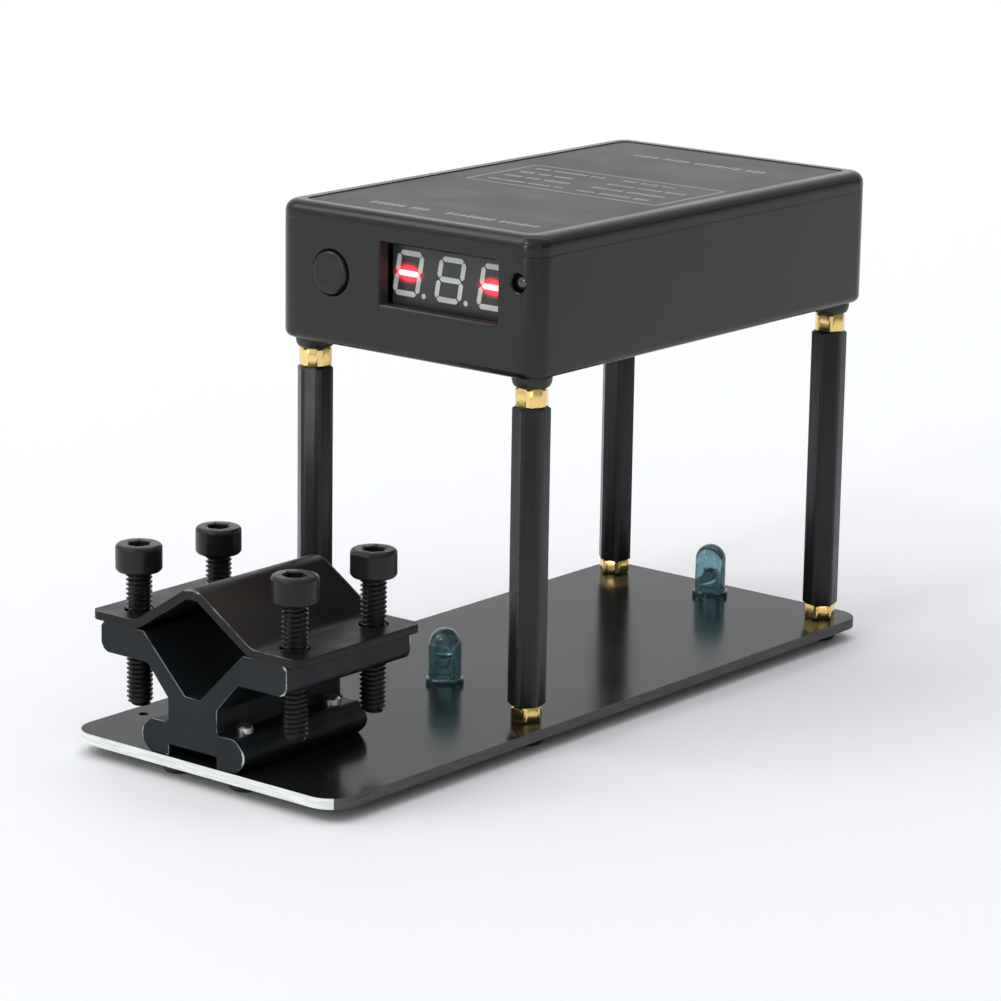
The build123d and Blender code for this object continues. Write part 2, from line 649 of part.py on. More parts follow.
def battery_pad():
    return block(0, BATTERY_CENTRE_Y, BOARD_TOP, BATTERY_WIDTH * 0.8, BATTERY_LENGTH * 0.8, BATTERY_PAD)


def battery_cell():
    """A flat pouch cell, lying on its foam pad."""
    cell = block(0, BATTERY_CENTRE_Y, BOARD_TOP + BATTERY_PAD, BATTERY_WIDTH, BATTERY_LENGTH, BATTERY_HEIGHT)
    return fillet(cell.edges().filter_by(Axis.Y), BATTERY_HEIGHT * 0.35)


def battery_lead(x):
    """One short lead from the cell's rear edge down to the board."""
    start_y = BATTERY_CENTRE_Y + BATTERY_LENGTH / 2
    start_z = BOARD_TOP + BATTERY_PAD + BATTERY_HEIGHT / 2
    start = (x, start_y, start_z)
    turn = (x, start_y + WIRE_RUN, start_z)
    end = (x, start_y + WIRE_RUN, BOARD_TOP)
    route = FilletPolyline(start, turn, end, radius=[WIRE_RADIUS * 3])
    return sweep(Plane(origin=start, z_dir=(0, 1, 0)) * Circle(WIRE_RADIUS), path=route)


def light_sensor(y):
    """A short 5 mm phototransistor that looks down through the floor of the box."""
    tip = BOX_BOTTOM + SENSOR_RECESS
    body = Pos(0, y, tip + EMITTER_RADIUS) * Sphere(EMITTER_RADIUS)
    body += rod(0, y, tip + EMITTER_RADIUS, EMITTER_RADIUS, BOARD_BOTTOM - tip - EMITTER_RADIUS)
    return body + rod(0, y, BOARD_BOTTOM - FLANGE_HEIGHT, FLANGE_RADIUS, FLANGE_HEIGHT)


def charge_socket():
    """The metal shell of a small power socket, with its tongue, at the rear edge of the main board."""
    rear = INNER_REAR + BOX_WALL / 2
    middle = rear - SOCKET_LENGTH / 2
    shell = block(SOCKET_X, middle, BOARD_TOP, SOCKET_WIDTH, SOCKET_LENGTH, SOCKET_HEIGHT)
    shell -= block(
        SOCKET_X,
        middle + SOCKET_WALL,
        BOARD_TOP + SOCKET_WALL,
        SOCKET_WIDTH - 2 * SOCKET_WALL,
        SOCKET_LENGTH,
        SOCKET_HEIGHT - 2 * SOCKET_WALL,
    )
    tongue_bottom = BOARD_TOP + (SOCKET_HEIGHT - SOCKET_TONGUE) / 2
    tongue_middle = rear - SOCKET_LENGTH / 2 - SOCKET_WALL
    tongue_length = SOCKET_LENGTH - 2 * SOCKET_WALL
    tongue = block(
        SOCKET_X, tongue_middle, tongue_bottom, SOCKET_WIDTH / 2, tongue_length, SOCKET_TONGUE
    )
    return shell + tongue


def socket_cut():
    return block(
        SOCKET_X,
        INNER_REAR + BOX_WALL / 2,
        BOARD_TOP - THROUGH_GAP,
        SOCKET_WIDTH + 2 * THROUGH_GAP,
        BOX_WALL * 2,
        SOCKET_HEIGHT + 2 * THROUGH_GAP,
    )


# --- barrel clamp -----------------------------------------------------------------------
def clamp_body():
    """The lower jaw: one extrusion with a rail-shaped foot, a stem, a V groove and two ears."""
    groove_rise = EAR_TOP - V_FLOOR_HEIGHT
    half = [
        (FOOT_NOTCH_WIDTH / 2, FOOT_NOTCH_HEIGHT),
        (FOOT_NOTCH_WIDTH / 2, 0),
        (FOOT_BASE_WIDTH / 2, 0),
        (FOOT_WIDTH / 2, FOOT_WIDEST_HEIGHT),
        (FOOT_TOP_WIDTH / 2, FOOT_HEIGHT),
        (STEM_WIDTH / 2, FOOT_HEIGHT),
        (STEM_WIDTH / 2, STEM_TOP),
        (EAR_ROOT_WIDTH / 2, EAR_BOTTOM),
        (EAR_WIDTH / 2, EAR_BOTTOM),
        (EAR_WIDTH / 2, EAR_TOP),
        (V_FLOOR_WIDTH / 2 + groove_rise, EAR_TOP),
        (V_FLOOR_WIDTH / 2, V_FLOOR_HEIGHT),
    ]
    radii = [0.2, 0.3, 0.8, 1.0, 0.6, 0.5, 0.6, 0.6, EAR_CORNER, EAR_CORNER * 0.5, 0.4, 0.8]
    points = mirrored([(x, PLATE_TOP + z) for x, z in half])
    front = CLAMP_CENTRE_Y - CLAMP_LENGTH / 2
    body = Pos(CLAMP_X, 0, 0) * profile_along_y(points, radii + radii[::-1], front, CLAMP_LENGTH)
    for x, y in clamp_screw_places().values():
        body -= rod(x, y, PLATE_TOP + EAR_BOTTOM, M4_RADIUS + RUNNING_GAP, EAR_TOP - EAR_BOTTOM)
    for x, y in clamp_fixing_places():
        body -= rod(x, y, PLATE_TOP, CLAMP_FIXING_RADIUS + THREAD_GAP, FOOT_HEIGHT)
    return body


def clamp_fixing_screw(x, y):
    reach = FOOT_HEIGHT + CLAMP_FIXING_STICKOUT
    return button_head_screw(
        x, y, CLAMP_FIXING_RADIUS, CLAMP_FIXING_HEAD_RADIUS, CLAMP_FIXING_HEX_KEY, reach
    )


def clamp_screw_places():
    return around(CLAMP_X, CLAMP_CENTRE_Y, CLAMP_SCREW_SPACING_X, CLAMP_SCREW_SPACING_Y)


def clamp_plate():
    """The upper jaw: sheet metal bent into a ridge, lying on the ears of the lower jaw."""
    seat = PLATE_TOP + EAR_TOP
    bend = JAW_BEND_WIDTH / 2
    slope = math.atan2(JAW_RISE, bend)
    # Offsetting a bent strip by its thickness moves each bend along its own bisector.
    shift = JAW_THICKNESS * math.tan(slope / 2)
    top = [(JAW_WIDTH / 2, seat + JAW_THICKNESS), (bend, seat + JAW_THICKNESS)]
    ridge_top = (0, seat + JAW_THICKNESS + JAW_RISE)
    ridge_under = (0, seat + JAW_RISE + JAW_THICKNESS - JAW_THICKNESS / math.cos(slope))
    under = [(bend - shift, seat), (JAW_WIDTH / 2, seat)]
    left_top = [(-x, z) for x, z in reversed(top)]
    left_under = [(-x, z) for x, z in reversed(under)]
    points = top + [ridge_top] + left_top + left_under + [ridge_under] + under
    inner_bend = JAW_BEND_RADIUS - JAW_THICKNESS
    inner_ridge = JAW_RIDGE_RADIUS - JAW_THICKNESS
    soft = JAW_THICKNESS * 0.2
    radii = [soft, inner_bend, JAW_RIDGE_RADIUS, inner_bend, soft]
    radii += [soft, JAW_BEND_RADIUS, inner_ridge, JAW_BEND_RADIUS, soft]
    front = CLAMP_CENTRE_Y - CLAMP_LENGTH / 2
    plate = Pos(CLAMP_X, 0, 0) * profile_along_y(points, radii, front, CLAMP_LENGTH)
    corners = rounded_block(CLAMP_X, CLAMP_CENTRE_Y, seat, JAW_WIDTH, CLAMP_LENGTH, JAW_RISE * 2, JAW_CORNER)
    plate = plate & corners
    for x, y in clamp_screw_places().values():
        plate -= rod(x, y, seat, M4_RADIUS + THROUGH_GAP, JAW_THICKNESS)
    return plate


def clamp_screw(x, y, backed_off):
    """An M4 socket cap screw, backed off from the upper jaw."""
    head_bottom = PLATE_TOP + EAR_TOP + JAW_THICKNESS + backed_off
    head = rod(x, y, head_bottom, M4_HEAD_RADIUS, M4_HEAD_HEIGHT)
    head = chamfer(head.edges().group_by(Axis.Z)[-1], 0.35)
    head -= hexagon_prism(x, y, head_bottom + M4_HEAD_HEIGHT / 2, M4_HEX_KEY, M4_HEAD_HEIGHT / 2)
    shank = rod(x, y, head_bottom - CLAMP_SCREW_LENGTH, M4_RADIUS, CLAMP_SCREW_LENGTH)
    return head + chamfer(shank.edges().group_by(Axis.Z)[0], 0.5)


# --- write every node -------------------------------------------------------------------
os.makedirs("parts", exist_ok=True)
save("base_plate", base_plate())
save("leg_screws", *[leg_screw(x, y) for x, y in LEGS.values()])
save("leg_nuts", *[leg_nut(leg) for leg in LEGS])
save("leg_spacers", *[leg_spacer(leg) for leg in LEGS])
save("leg_collars", *[leg_collar(leg) for leg in LEGS])
save("leg_studs", *[leg_stud(leg) for leg in LEGS])
for leg in LEGS:
    save(f"leg_column_{leg}", leg_column(leg))

for gate, gate_y in GATES.items():
    save(f"emitter_{gate}", emitter(gate_y))
    save(f"light_sensor_{gate}", light_sensor(gate_y))
save("emitter_leads", *[emitter_lead(x, y) for y in GATES.values() for x in lead_places()])
save("ballast_resistors", *[ballast_resistor(y) for y in GATES.values()])

save("enclosure_base", enclosure_base())
save("enclosure_lid", enclosure_lid())
save("top_label", label_blank(0, LABEL_THICKNESS))
save("display_module", display_module())
lit_segments, unlit_segments = display_segments()
save("display_segments_lit", *lit_segments)
save("display_segments_unlit", *unlit_segments)
save("indicator_lens", indicator_lens())
save("button_cap", button_cap())
save("switch_body", switch_body())

save("main_board", main_board())
save("front_board", front_board())
save("board_header", board_header())
save("board_screws", *[board_screw(x, y) for x, y in board_boss_places()])
save("controller_chip", *controller_chip())
save("timing_crystal", timing_crystal())
save("reservoir_capacitor", reservoir_capacitor())
save("board_passives", *board_passives())
save("battery_pad", battery_pad())
save("battery_cell", battery_cell())
save("battery_leads", *[battery_lead(side * WIRE_SPACING / 2) for side in (-1, 1)])
save("charge_socket", charge_socket())

save("clamp_body", clamp_body())
save("clamp_plate", clamp_plate())
save("clamp_fixing_screws", *[clamp_fixing_screw(x, y) for x, y in clamp_fixing_places()])
for key, (x, y) in clamp_screw_places().items():
    save(f"clamp_screw_{key}", clamp_screw(x, y, BACKED_OFF[key]))
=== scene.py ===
import json
import math
import random
import bmesh
import bpy
from mathutils import Matrix, Vector


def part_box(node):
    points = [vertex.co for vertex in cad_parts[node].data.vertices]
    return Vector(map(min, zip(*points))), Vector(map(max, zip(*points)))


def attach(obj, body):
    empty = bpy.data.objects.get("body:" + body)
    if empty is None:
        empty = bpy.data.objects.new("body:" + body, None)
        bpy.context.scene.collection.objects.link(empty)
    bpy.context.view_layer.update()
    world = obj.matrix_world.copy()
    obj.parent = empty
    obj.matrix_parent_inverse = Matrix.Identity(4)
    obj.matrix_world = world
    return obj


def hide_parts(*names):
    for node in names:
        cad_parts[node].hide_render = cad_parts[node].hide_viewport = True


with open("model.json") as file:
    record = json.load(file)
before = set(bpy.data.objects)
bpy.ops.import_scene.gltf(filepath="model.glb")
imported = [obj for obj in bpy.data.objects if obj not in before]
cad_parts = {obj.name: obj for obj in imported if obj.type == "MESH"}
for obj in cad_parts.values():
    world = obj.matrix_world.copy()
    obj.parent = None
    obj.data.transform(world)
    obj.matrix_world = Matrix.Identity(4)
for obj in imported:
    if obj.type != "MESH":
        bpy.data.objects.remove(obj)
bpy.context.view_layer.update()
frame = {"nodes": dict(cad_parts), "record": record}

MM = 0.001
SMOOTH_BELOW = math.radians(32)
FLAT_ABOVE = 25e-6       # square metres
CORNERS = ("front_left", "front_right", "rear_left", "rear_right")


# --- camera, light and stage ------------------------------------------------------------
CAMERA_PLACE = (0.36717, -0.45169, 0.17497)
CAMERA_AZIMUTH = 38.95
CAMERA_ELEVATION = 13.95
CAMERA_ROLL = 0.88
CAMERA_LENS = 141.2


def make_camera():
    data = bpy.data.cameras.new("camera")
    data.lens = CAMERA_LENS
    data.sensor_width = 36.0
    data.clip_start = 0.01
    camera = bpy.data.objects.new("camera", data)
    turn = Matrix.Rotation(math.radians(CAMERA_AZIMUTH), 4, "Z")
    tilt = Matrix.Rotation(math.radians(90 - CAMERA_ELEVATION), 4, "X")
    roll = Matrix.Rotation(math.radians(CAMERA_ROLL), 4, "Z")
    camera.matrix_world = Matrix.Translation(CAMERA_PLACE) @ turn @ tilt @ roll
    bpy.context.scene.collection.objects.link(camera)
    bpy.context.scene.camera = camera


def area_light(name, place, target, size, power, colour):
    data = bpy.data.lights.new(name, "AREA")
    data.shape = "RECTANGLE"
    data.size, data.size_y = size
    data.energy = power
    data.color = colour
    light = bpy.data.objects.new(name, data)
    aim = (Vector(target) - Vector(place)).to_track_quat("-Z", "Y")
    light.matrix_world = Matrix.Translation(place) @ aim.to_matrix().to_4x4()
    bpy.context.scene.collection.objects.link(light)


def make_lights():
    middle = (0, 0, 0.03)
    area_light("key", (-0.72, -0.62, 1.05), middle, (0.8, 0.8), 3.9, (1.0, 0.98, 0.95))
    area_light("wall_wash", (-0.2, 0.5, 1.3), (-0.95, 1.25, 0.35), (1.6, 0.6), 7.3, (1.0, 1.0, 0.945))
    area_light("front_strip", (0.05, -1.0, 0.3), middle, (0.06, 0.5), 1.6, (1.0, 1.0, 1.0))
    area_light("lamp", (0.0, -0.75, 0.8), middle, (0.07, 0.07), 0.9, (1.0, 1.0, 0.98))
    area_light("side_strip", (1.0, -0.4, 0.25), middle, (0.03, 0.4), 0.4, (1.0, 0.88, 0.66))
    bpy.context.scene.world = make_world()


def make_world():
    """A pale room, bright overhead and on the left, and dark low down on the right."""
    world = bpy.data.worlds.new("room")
    world.use_nodes = True
    tree = world.node_tree
    background = tree.nodes["Background"]
    background.inputs["Color"].default_value = (0.965, 0.985, 1.0, 1)
    direction = tree.nodes.new("ShaderNodeTexCoord")
    facing = tree.nodes.new("ShaderNodeVectorMath")
    facing.operation = "DOT_PRODUCT"
    facing.inputs[1].default_value = Vector((-0.45, -0.25, 0.86)).normalized()
    fall = tree.nodes.new("ShaderNodeMapRange")
    for name, value in (("From Min", -0.25), ("From Max", 0.7), ("To Min", 0.22), ("To Max", 0.9)):
        fall.inputs[name].default_value = value
    tree.links.new(direction.outputs["Generated"], facing.inputs[0])
    tree.links.new(facing.outputs["Value"], fall.inputs["Value"])
    tree.links.new(fall.outputs["Result"], background.inputs["Strength"])
    return world


def make_stage():
    """A pale table top that runs up into a wall a good way behind the object."""
    near, wall, height, bend = -2.5, 1.55, 3.0, 0.55
    profile = [(near, 0.0), (-0.8, 0.0), (0.4, 0.0)]
    steps = 20
    for i in range(steps + 1):
        angle = math.pi / 2 * i / steps
        profile.append((wall - bend + bend * math.sin(angle), bend - bend * math.cos(angle)))
    profile.append((wall, height))
    bm = bmesh.new()
    rows = [[bm.verts.new((x, y, z)) for x in (-4.0, 4.0)] for y, z in profile]
    for low, high in zip(rows, rows[1:]):
        bm.faces.new((low[0], low[1], high[1], high[0]))
    mesh = bpy.data.meshes.new("backdrop")
    bm.to_mesh(mesh)
    bm.free()
    mesh.shade_smooth()
    backdrop = bpy.data.objects.new("backdrop", mesh)
    turn = Matrix.Rotation(math.radians(CAMERA_AZIMUTH), 4, "Z")
    backdrop.matrix_world = turn
    mesh.materials.append(backdrop_material())
    bpy.context.scene.collection.objects.link(backdrop)


# --- materials --------------------------------------------------------------------------
class Finish:
    """One procedural material, built up a layer at a time on a Principled shader."""

    def __init__(self, name):
        self.material = bpy.data.materials.new(name)
        self.material.use_nodes = True
        self.tree = self.material.node_tree
        self.shader = self.tree.nodes["Principled BSDF"]
        self.coordinates = self.tree.nodes.new("ShaderNodeTexCoord")
        self.height = None

    def set(self, **sockets):
        for name, value in sockets.items():
            self.shader.inputs[name.replace("_", " ")].default_value = value
        return self

    def node(self, kind, **values):
        made = self.tree.nodes.new(kind)
        for name, value in values.items():
            if name in made.inputs:
                made.inputs[name].default_value = value
            else:
                setattr(made, name, value)
        return made

    def link(self, a, b):
        self.tree.links.new(a, b)

    def noise(self, scale, detail=3.0, stretch=(1, 1, 1), kind="ShaderNodeTexNoise"):
        """A noise pattern in the piece's own space, scale in features per metre."""
        mapping = self.node("ShaderNodeMapping", Scale=stretch)
        self.link(self.coordinates.outputs["Object"], mapping.inputs["Vector"])
        texture = self.node(kind, Scale=scale)
        if "Detail" in texture.inputs:
            texture.inputs["Detail"].default_value = detail
        self.link(mapping.outputs["Vector"], texture.inputs["Vector"])
        return texture.outputs[0]

    def ramp(self, factor, low, high, start=0.3, end=0.7):
        """Spreads a pattern between two colours."""
        ramp = self.node("ShaderNodeValToRGB")
        ramp.color_ramp.elements[0].position = start
        ramp.color_ramp.elements[1].position = end
        ramp.color_ramp.elements[0].color = (*low, 1)
        ramp.color_ramp.elements[1].color = (*high, 1)
        self.link(factor, ramp.inputs["Fac"])
        return ramp.outputs["Color"]

    def spread(self, factor, low, high, start=0.3, end=0.7):
        """Spreads a pattern between two numbers."""
        spread = self.node("ShaderNodeMapRange")
        for name, value in (("From Min", start), ("From Max", end), ("To Min", low), ("To Max", high)):
            spread.inputs[name].default_value = value
        self.link(factor, spread.inputs["Value"])
        return spread.outputs["Result"]

    def mix(self, factor, low, high):
        mix = self.node("ShaderNodeMix", data_type="RGBA")
        self.link(factor, mix.inputs["Factor"])
        self.link(low, mix.inputs["A"])
        self.link(high, mix.inputs["B"])
        return mix.outputs["Result"]

    def colour(self, low, high, scale=60, detail=4.0, stretch=(1, 1, 1)):
        pattern = self.noise(scale, detail, stretch)
        self.link(self.ramp(pattern, low, high), self.shader.inputs["Base Color"])
        return self

    def roughness(self, low, high, scale=90, detail=5.0, stretch=(1, 1, 1)):
        pattern = self.noise(scale, detail, stretch)
        self.link(self.spread(pattern, low, high), self.shader.inputs["Roughness"])
        return self

    def bump(self, scale, depth, strength=1.0, detail=3.0, stretch=(1, 1, 1)):
        """Adds a layer of relief, depth in metres."""
        made = self.node("ShaderNodeBump", Strength=strength, Distance=depth)
        self.link(self.noise(scale, detail, stretch), made.inputs["Height"])
        if self.height:
            self.link(self.height, made.inputs["Normal"])
        self.height = made.outputs["Normal"]
        self.link(self.height, self.shader.inputs["Normal"])
        return self


def backdrop_material():
    finish = Finish("backdrop")
    finish.set(Roughness=0.75, Specular_IOR_Level=0.2)
    finish.colour((0.90, 0.905, 0.93), (0.915, 0.92, 0.945), scale=3)
    return finish.bump(400, 0.0002, 0.2).material


def moulded(name, low, high, rough, grain=0.00004, gloss=0.5, tint=(1, 1, 1)):
    """Injection-moulded plastic: faint flow mottling, uneven gloss and a fine grain."""
    finish = Finish(name)
    finish.set(Specular_IOR_Level=gloss, Specular_Tint=(*tint, 1))
    finish.colour(low, high, scale=45)
    finish.roughness(rough[0], rough[1], scale=110)
    finish.bump(28, 0.00035, 0.25, detail=1.0)
    return finish.bump(2600, grain, 0.35, detail=2.0).material


def coated_metal(name, low, high, rough, metallic=0.0, grain=0.00003, scale=1800, gloss=0.5):
    """Oxide, plating or anodising on metal: fine tooth, uneven sheen."""
    finish = Finish(name)
    finish.set(Metallic=metallic, Specular_IOR_Level=gloss)
    finish.colour(low, high, scale=120)
    finish.roughness(rough[0], rough[1], scale=260)
    return finish.bump(scale, grain, 0.4, detail=4.0).material


def worn_edge_and_highlight(name, coat, metal, rough, amount):
    """A coated edge rubbed through to the metal here and there, its colours lighter than the face beside it:
    wear, and painted highlight along the edge. Amount is the bare share.
    """
    finish = Finish(name)
    finish.roughness(rough[0], rough[1], scale=300)
    pattern = finish.noise(420, 6.0)
    start = 0.62 - 0.28 * amount
    colour = finish.ramp(pattern, coat, metal, start, start + 0.14)
    finish.link(colour, finish.shader.inputs["Base Color"])
    finish.link(finish.spread(pattern, 0.0, 0.35, start, start + 0.14), finish.shader.inputs["Metallic"])
    return finish.bump(900, 0.00004, 0.4).material


def turned_metal(name, low, high, rough, lines=5200):
    """Bare machined metal with turning lines across its height."""
    finish = Finish(name)
    finish.set(Metallic=1.0)
    finish.colour(low, high, scale=180)
    finish.roughness(rough[0], rough[1], scale=500, stretch=(1, 1, 6))
    return finish.bump(lines, 0.00002, 0.35, stretch=(0.05, 0.05, 1)).material


def clear_epoxy(name, tint, roughness=0.03):
    finish = Finish(name)
    finish.set(Transmission_Weight=0.88, IOR=1.5)
    finish.colour(tint, [c * 0.93 for c in tint], scale=200)
    finish.roughness(roughness, roughness * 1.8, scale=300)
    return finish.bump(700, 0.00002, 0.15).material


def painted_bar_glow(finish, reach, strength, tint=(1.0, 0.015, 0.04, 1)):
    """Painted glow: red emission on what lies round the lit bars, standing in for their light spreading
    there.
    """
    total = None
    for bar_low, bar_high in lit_bars():
        centre = (bar_low + bar_high) / 2
        half = (bar_high - bar_low) / 2 + Vector((reach, 1.0, reach))
        offset = finish.node("ShaderNodeVectorMath", operation="SUBTRACT")
        offset.inputs[1].default_value = centre
        finish.link(finish.coordinates.outputs["Object"], offset.inputs[0])
        scaled = finish.node("ShaderNodeVectorMath", operation="DIVIDE")
        scaled.inputs[1].default_value = half
        finish.link(offset.outputs["Vector"], scaled.inputs[0])
        distance = finish.node("ShaderNodeVectorMath", operation="LENGTH")
        finish.link(scaled.outputs["Vector"], distance.inputs[0])
        fall = finish.spread(distance.outputs["Value"], 1.0, 0.0, 0.35, 1.0)
        curve = finish.node("ShaderNodeMath", operation="POWER")
        curve.inputs[1].default_value = 2.6
        finish.link(fall, curve.inputs[0])
        glow = finish.spread(curve.outputs["Value"], 0.0, strength, 0.0, 1.0)
        if total:
            add = finish.node("ShaderNodeMath", operation="ADD")
            finish.link(total, add.inputs[0])
            finish.link(glow, add.inputs[1])
            glow = add.outputs["Value"]
        total = glow
    finish.set(Emission_Color=tint)
    finish.link(total, finish.shader.inputs["Emission Strength"])


def lit_bars():
    """The boxes of the two lit bars, left and right."""
    return separate_boxes("display_segments_lit")


def display_face_material():
    finish = Finish("display_face")
    finish.colour((0.026, 0.026, 0.026), (0.034, 0.034, 0.033), scale=300)
    finish.roughness(0.3, 0.4)
    finish.bump(2500, 0.00002, 0.2)
    # Painted glow: red emission on the display face round the lit bars.
    painted_bar_glow(finish, 1.5 * MM, 3.2)
    return finish.material


def unlit_segment_material():
    finish = Finish("segment_unlit")
    finish.colour((0.44, 0.47, 0.43), (0.54, 0.57, 0.52), scale=500)
    finish.roughness(0.3, 0.45)
    finish.bump(3000, 0.00002, 0.2)
    # Painted glow: red emission on the unlit bars near the lit ones.
    painted_bar_glow(finish, 1.3 * MM, 3.0, (1.0, 0.03, 0.06, 1))
    return finish.material


def lit_segment_material():
    finish = Finish("segment_lit")
    finish.colour((0.9, 0.2, 0.2), (1.0, 0.25, 0.25), scale=500)
    finish.roughness(0.3, 0.4)
    finish.set(Emission_Color=(1.0, 0.15, 0.17, 1))
    finish.link(finish.spread(finish.noise(900), 6.0, 7.5), finish.shader.inputs["Emission Strength"])
    return finish.material


def cut_board_edge_material(name, low, high):
    """The sawn edge of glass-fibre board, with the layers showing as fine lines."""
    finish = Finish(name)
    layers = finish.noise(3800, 2.0, (0.06, 0.06, 1))
    finish.link(finish.ramp(layers, low, high), finish.shader.inputs["Base Color"])
    finish.roughness(0.55, 0.75)
    return finish.bump(3800, 0.00006, 0.5, stretch=(0.06, 0.06, 1)).material


def solder_mask_material():
    """Gloss black lacquer: nearly a mirror, with a slow orange peel and handling smears."""
    finish = Finish("board_black")
    finish.set(Specular_IOR_Level=0.13, Specular_Tint=(1.0, 1.0, 0.9, 1))
    finish.colour((0.006, 0.0065, 0.0065), (0.010, 0.0105, 0.010), scale=40)
    finish.roughness(0.15, 0.21, scale=38, detail=6.0)
    finish.bump(55, 0.0004, 0.04, detail=1.0)
    return finish.bump(1500, 0.00002, 0.12).material


# --- mesh building ----------------------------------------------------------------------
def arc(centre, radius, start, end, steps):
    """Points on an arc, angles in degrees."""
    out = []
    for i in range(steps + 1):
        angle = math.radians(start + (end - start) * i / steps)
        out.append((centre[0] + radius * math.cos(angle), centre[1] + radius * math.sin(angle)))
    return out


def rounded_rectangle(width, length, corner, steps=10):
    """An outline centred on the origin, anticlockwise."""
    x, y = width / 2 - corner, length / 2 - corner
    out = []
    for i, (sx, sy) in enumerate(((1, 1), (-1, 1), (-1, -1), (1, -1))):
        out += arc((sx * x, sy * y), corner, 90 * i, 90 * i + 90, steps)
    return out


def circle(radius, count=64):
    return [(radius * math.cos(2 * math.pi * i / count), radius * math.sin(2 * math.pi * i / count))
            for i in range(count)]


def polygon_ring(across_flats, sides, count, turn=0.0, corner=1.0):
    """A regular polygon sampled evenly by angle. Corner under 1 cuts the points back to that share."""
    out = []
    for i in range(count):
        angle = 2 * math.pi * i / count
        part = (angle - math.radians(turn)) % (2 * math.pi / sides) - math.pi / sides
        radius = across_flats / 2 / math.cos(part)
        limit = across_flats / 2 / math.cos(math.pi / sides) * corner
        out.append((min(radius, limit) * math.cos(angle), min(radius, limit) * math.sin(angle)))
    return out


def ring(outline, z, centre=(0, 0)):
    return [Vector((x + centre[0], y + centre[1], z)) for x, y in outline]


def loft(bm, rings, cap_start=True, cap_end=True, index=0):
    """Joins rings of equal count with quads, and closes the ends."""
    rows = [[bm.verts.new(p) for p in r] for r in rings]
    faces = []
    for a, b in zip(rows, rows[1:]):
        count = len(a)
        for i in range(count):
            j = (i + 1) % count
            faces.append(bm.faces.new((a[i], a[j], b[j], b[i])))
    if cap_start:
        faces.append(bm.faces.new(rows[0][::-1]))
    if cap_end:
        faces.append(bm.faces.new(rows[-1]))
    for face in faces:
        face.material_index = index
    return faces


def soft_prism(bm, outline_at, low, high, bottom_edge, top_edge, steps=4, centre=(0, 0)):
    """A prism whose rims are rounded. outline_at(inset) gives the outline drawn in by inset."""
    rings = []
    for i in range(steps + 1):
        angle = math.pi / 2 * i / steps
        inset = bottom_edge * (1 - math.sin(angle))
        rings.append(ring(outline_at(inset), low + bottom_edge * (1 - math.cos(angle)), centre))
    for i in range(steps + 1):
        angle = math.pi / 2 * i / steps
        inset = top_edge * (1 - math.cos(angle))
        rings.append(ring(outline_at(inset), high - top_edge * (1 - math.sin(angle)), centre))
    loft(bm, rings)


def lathe(bm, profile, centre, count=48, turn=None):
    """Spins (radius, z) points about an upright axis. A first or last radius of 0 closes to a point."""
    start = len(bm.verts)
    rows = []
    for radius, z in profile:
        if radius == 0:
            rows.append([bm.verts.new((centre[0], centre[1], z))])
        else:
            rows.append([bm.verts.new(p) for p in ring(circle(radius, count), z, centre)])
    for a, b in zip(rows, rows[1:]):
        for i in range(count):
            j = (i + 1) % count
            if len(a) == 1:
                bm.faces.new((a[0], b[j], b[i]))
            elif len(b) == 1:
                bm.faces.new((a[i], a[j], b[0]))
            else:
                bm.faces.new((a[i], a[j], b[j], b[i]))
    for row, flip in ((rows[0], True), (rows[-1], False)):
        if len(row) > 1:
            bm.faces.new(row[::-1] if flip else row)
    if turn:
        bm.verts.ensure_lookup_table()
        bmesh.ops.transform(bm, matrix=turn, verts=bm.verts[start:])


def facing_front(x, z, y_mouth):
    """Turns what was spun about +Z at the origin to lie along +Y from the mouth at x, z."""
    return Matrix.Translation((x, y_mouth, z)) @ Matrix.Rotation(math.radians(-90), 4, "X")


def rounded_outline(points, radii, steps=5):
    """A closed outline with each corner rounded to its own radius."""
    out = []
    count = len(points)
    for i, radius in enumerate(radii):
        here = Vector(points[i])
        back = (Vector(points[i - 1]) - here).normalized()
        ahead = (Vector(points[(i + 1) % count]) - here).normalized()
        half = math.acos(max(-1, min(1, back.dot(ahead)))) / 2
        reach = radius / math.tan(half)
        start, end = here + back * reach, here + ahead * reach
        centre = here + (back + ahead).normalized() * (radius / math.sin(half))
        a, b = start - centre, end - centre
        angle = a.angle_signed(b)
        for k in range(steps + 1):
            turned = a.copy()
            turned.rotate(Matrix.Rotation(-angle * k / steps, 2))
            out.append(tuple(centre + turned))
    return out


def extrude_along_y(bm, outline, front, rear, edge, segments=2, edge_index=1):
    """A profile in X and Z drawn out along Y, its end rims broken by a small bevel."""
    rows = [[bm.verts.new((x, y, z)) for x, z in outline] for y in (front, rear)]
    count = len(outline)
    for i in range(count):
        j = (i + 1) % count
        bm.faces.new((rows[0][i], rows[0][j], rows[1][j], rows[1][i]))
    ends = [bm.faces.new(rows[0]), bm.faces.new(rows[1][::-1])]
    rims = [e for f in ends for e in f.edges]
    made = bmesh.ops.bevel(bm, geom=rims, offset=edge, segments=segments, profile=0.5,
                           affect="EDGES", clamp_overlap=True)
    for face in made["faces"]:
        face.material_index = edge_index


def shade(bm):
    """Smooth where the surface curves, flat on big faces, sharp where it turns sharply."""
    for face in bm.faces:
        face.smooth = face.calc_area() < FLAT_ABOVE
    for edge in bm.edges:
        edge.smooth = len(edge.link_faces) == 2 and edge.calc_face_angle(0) < SMOOTH_BELOW


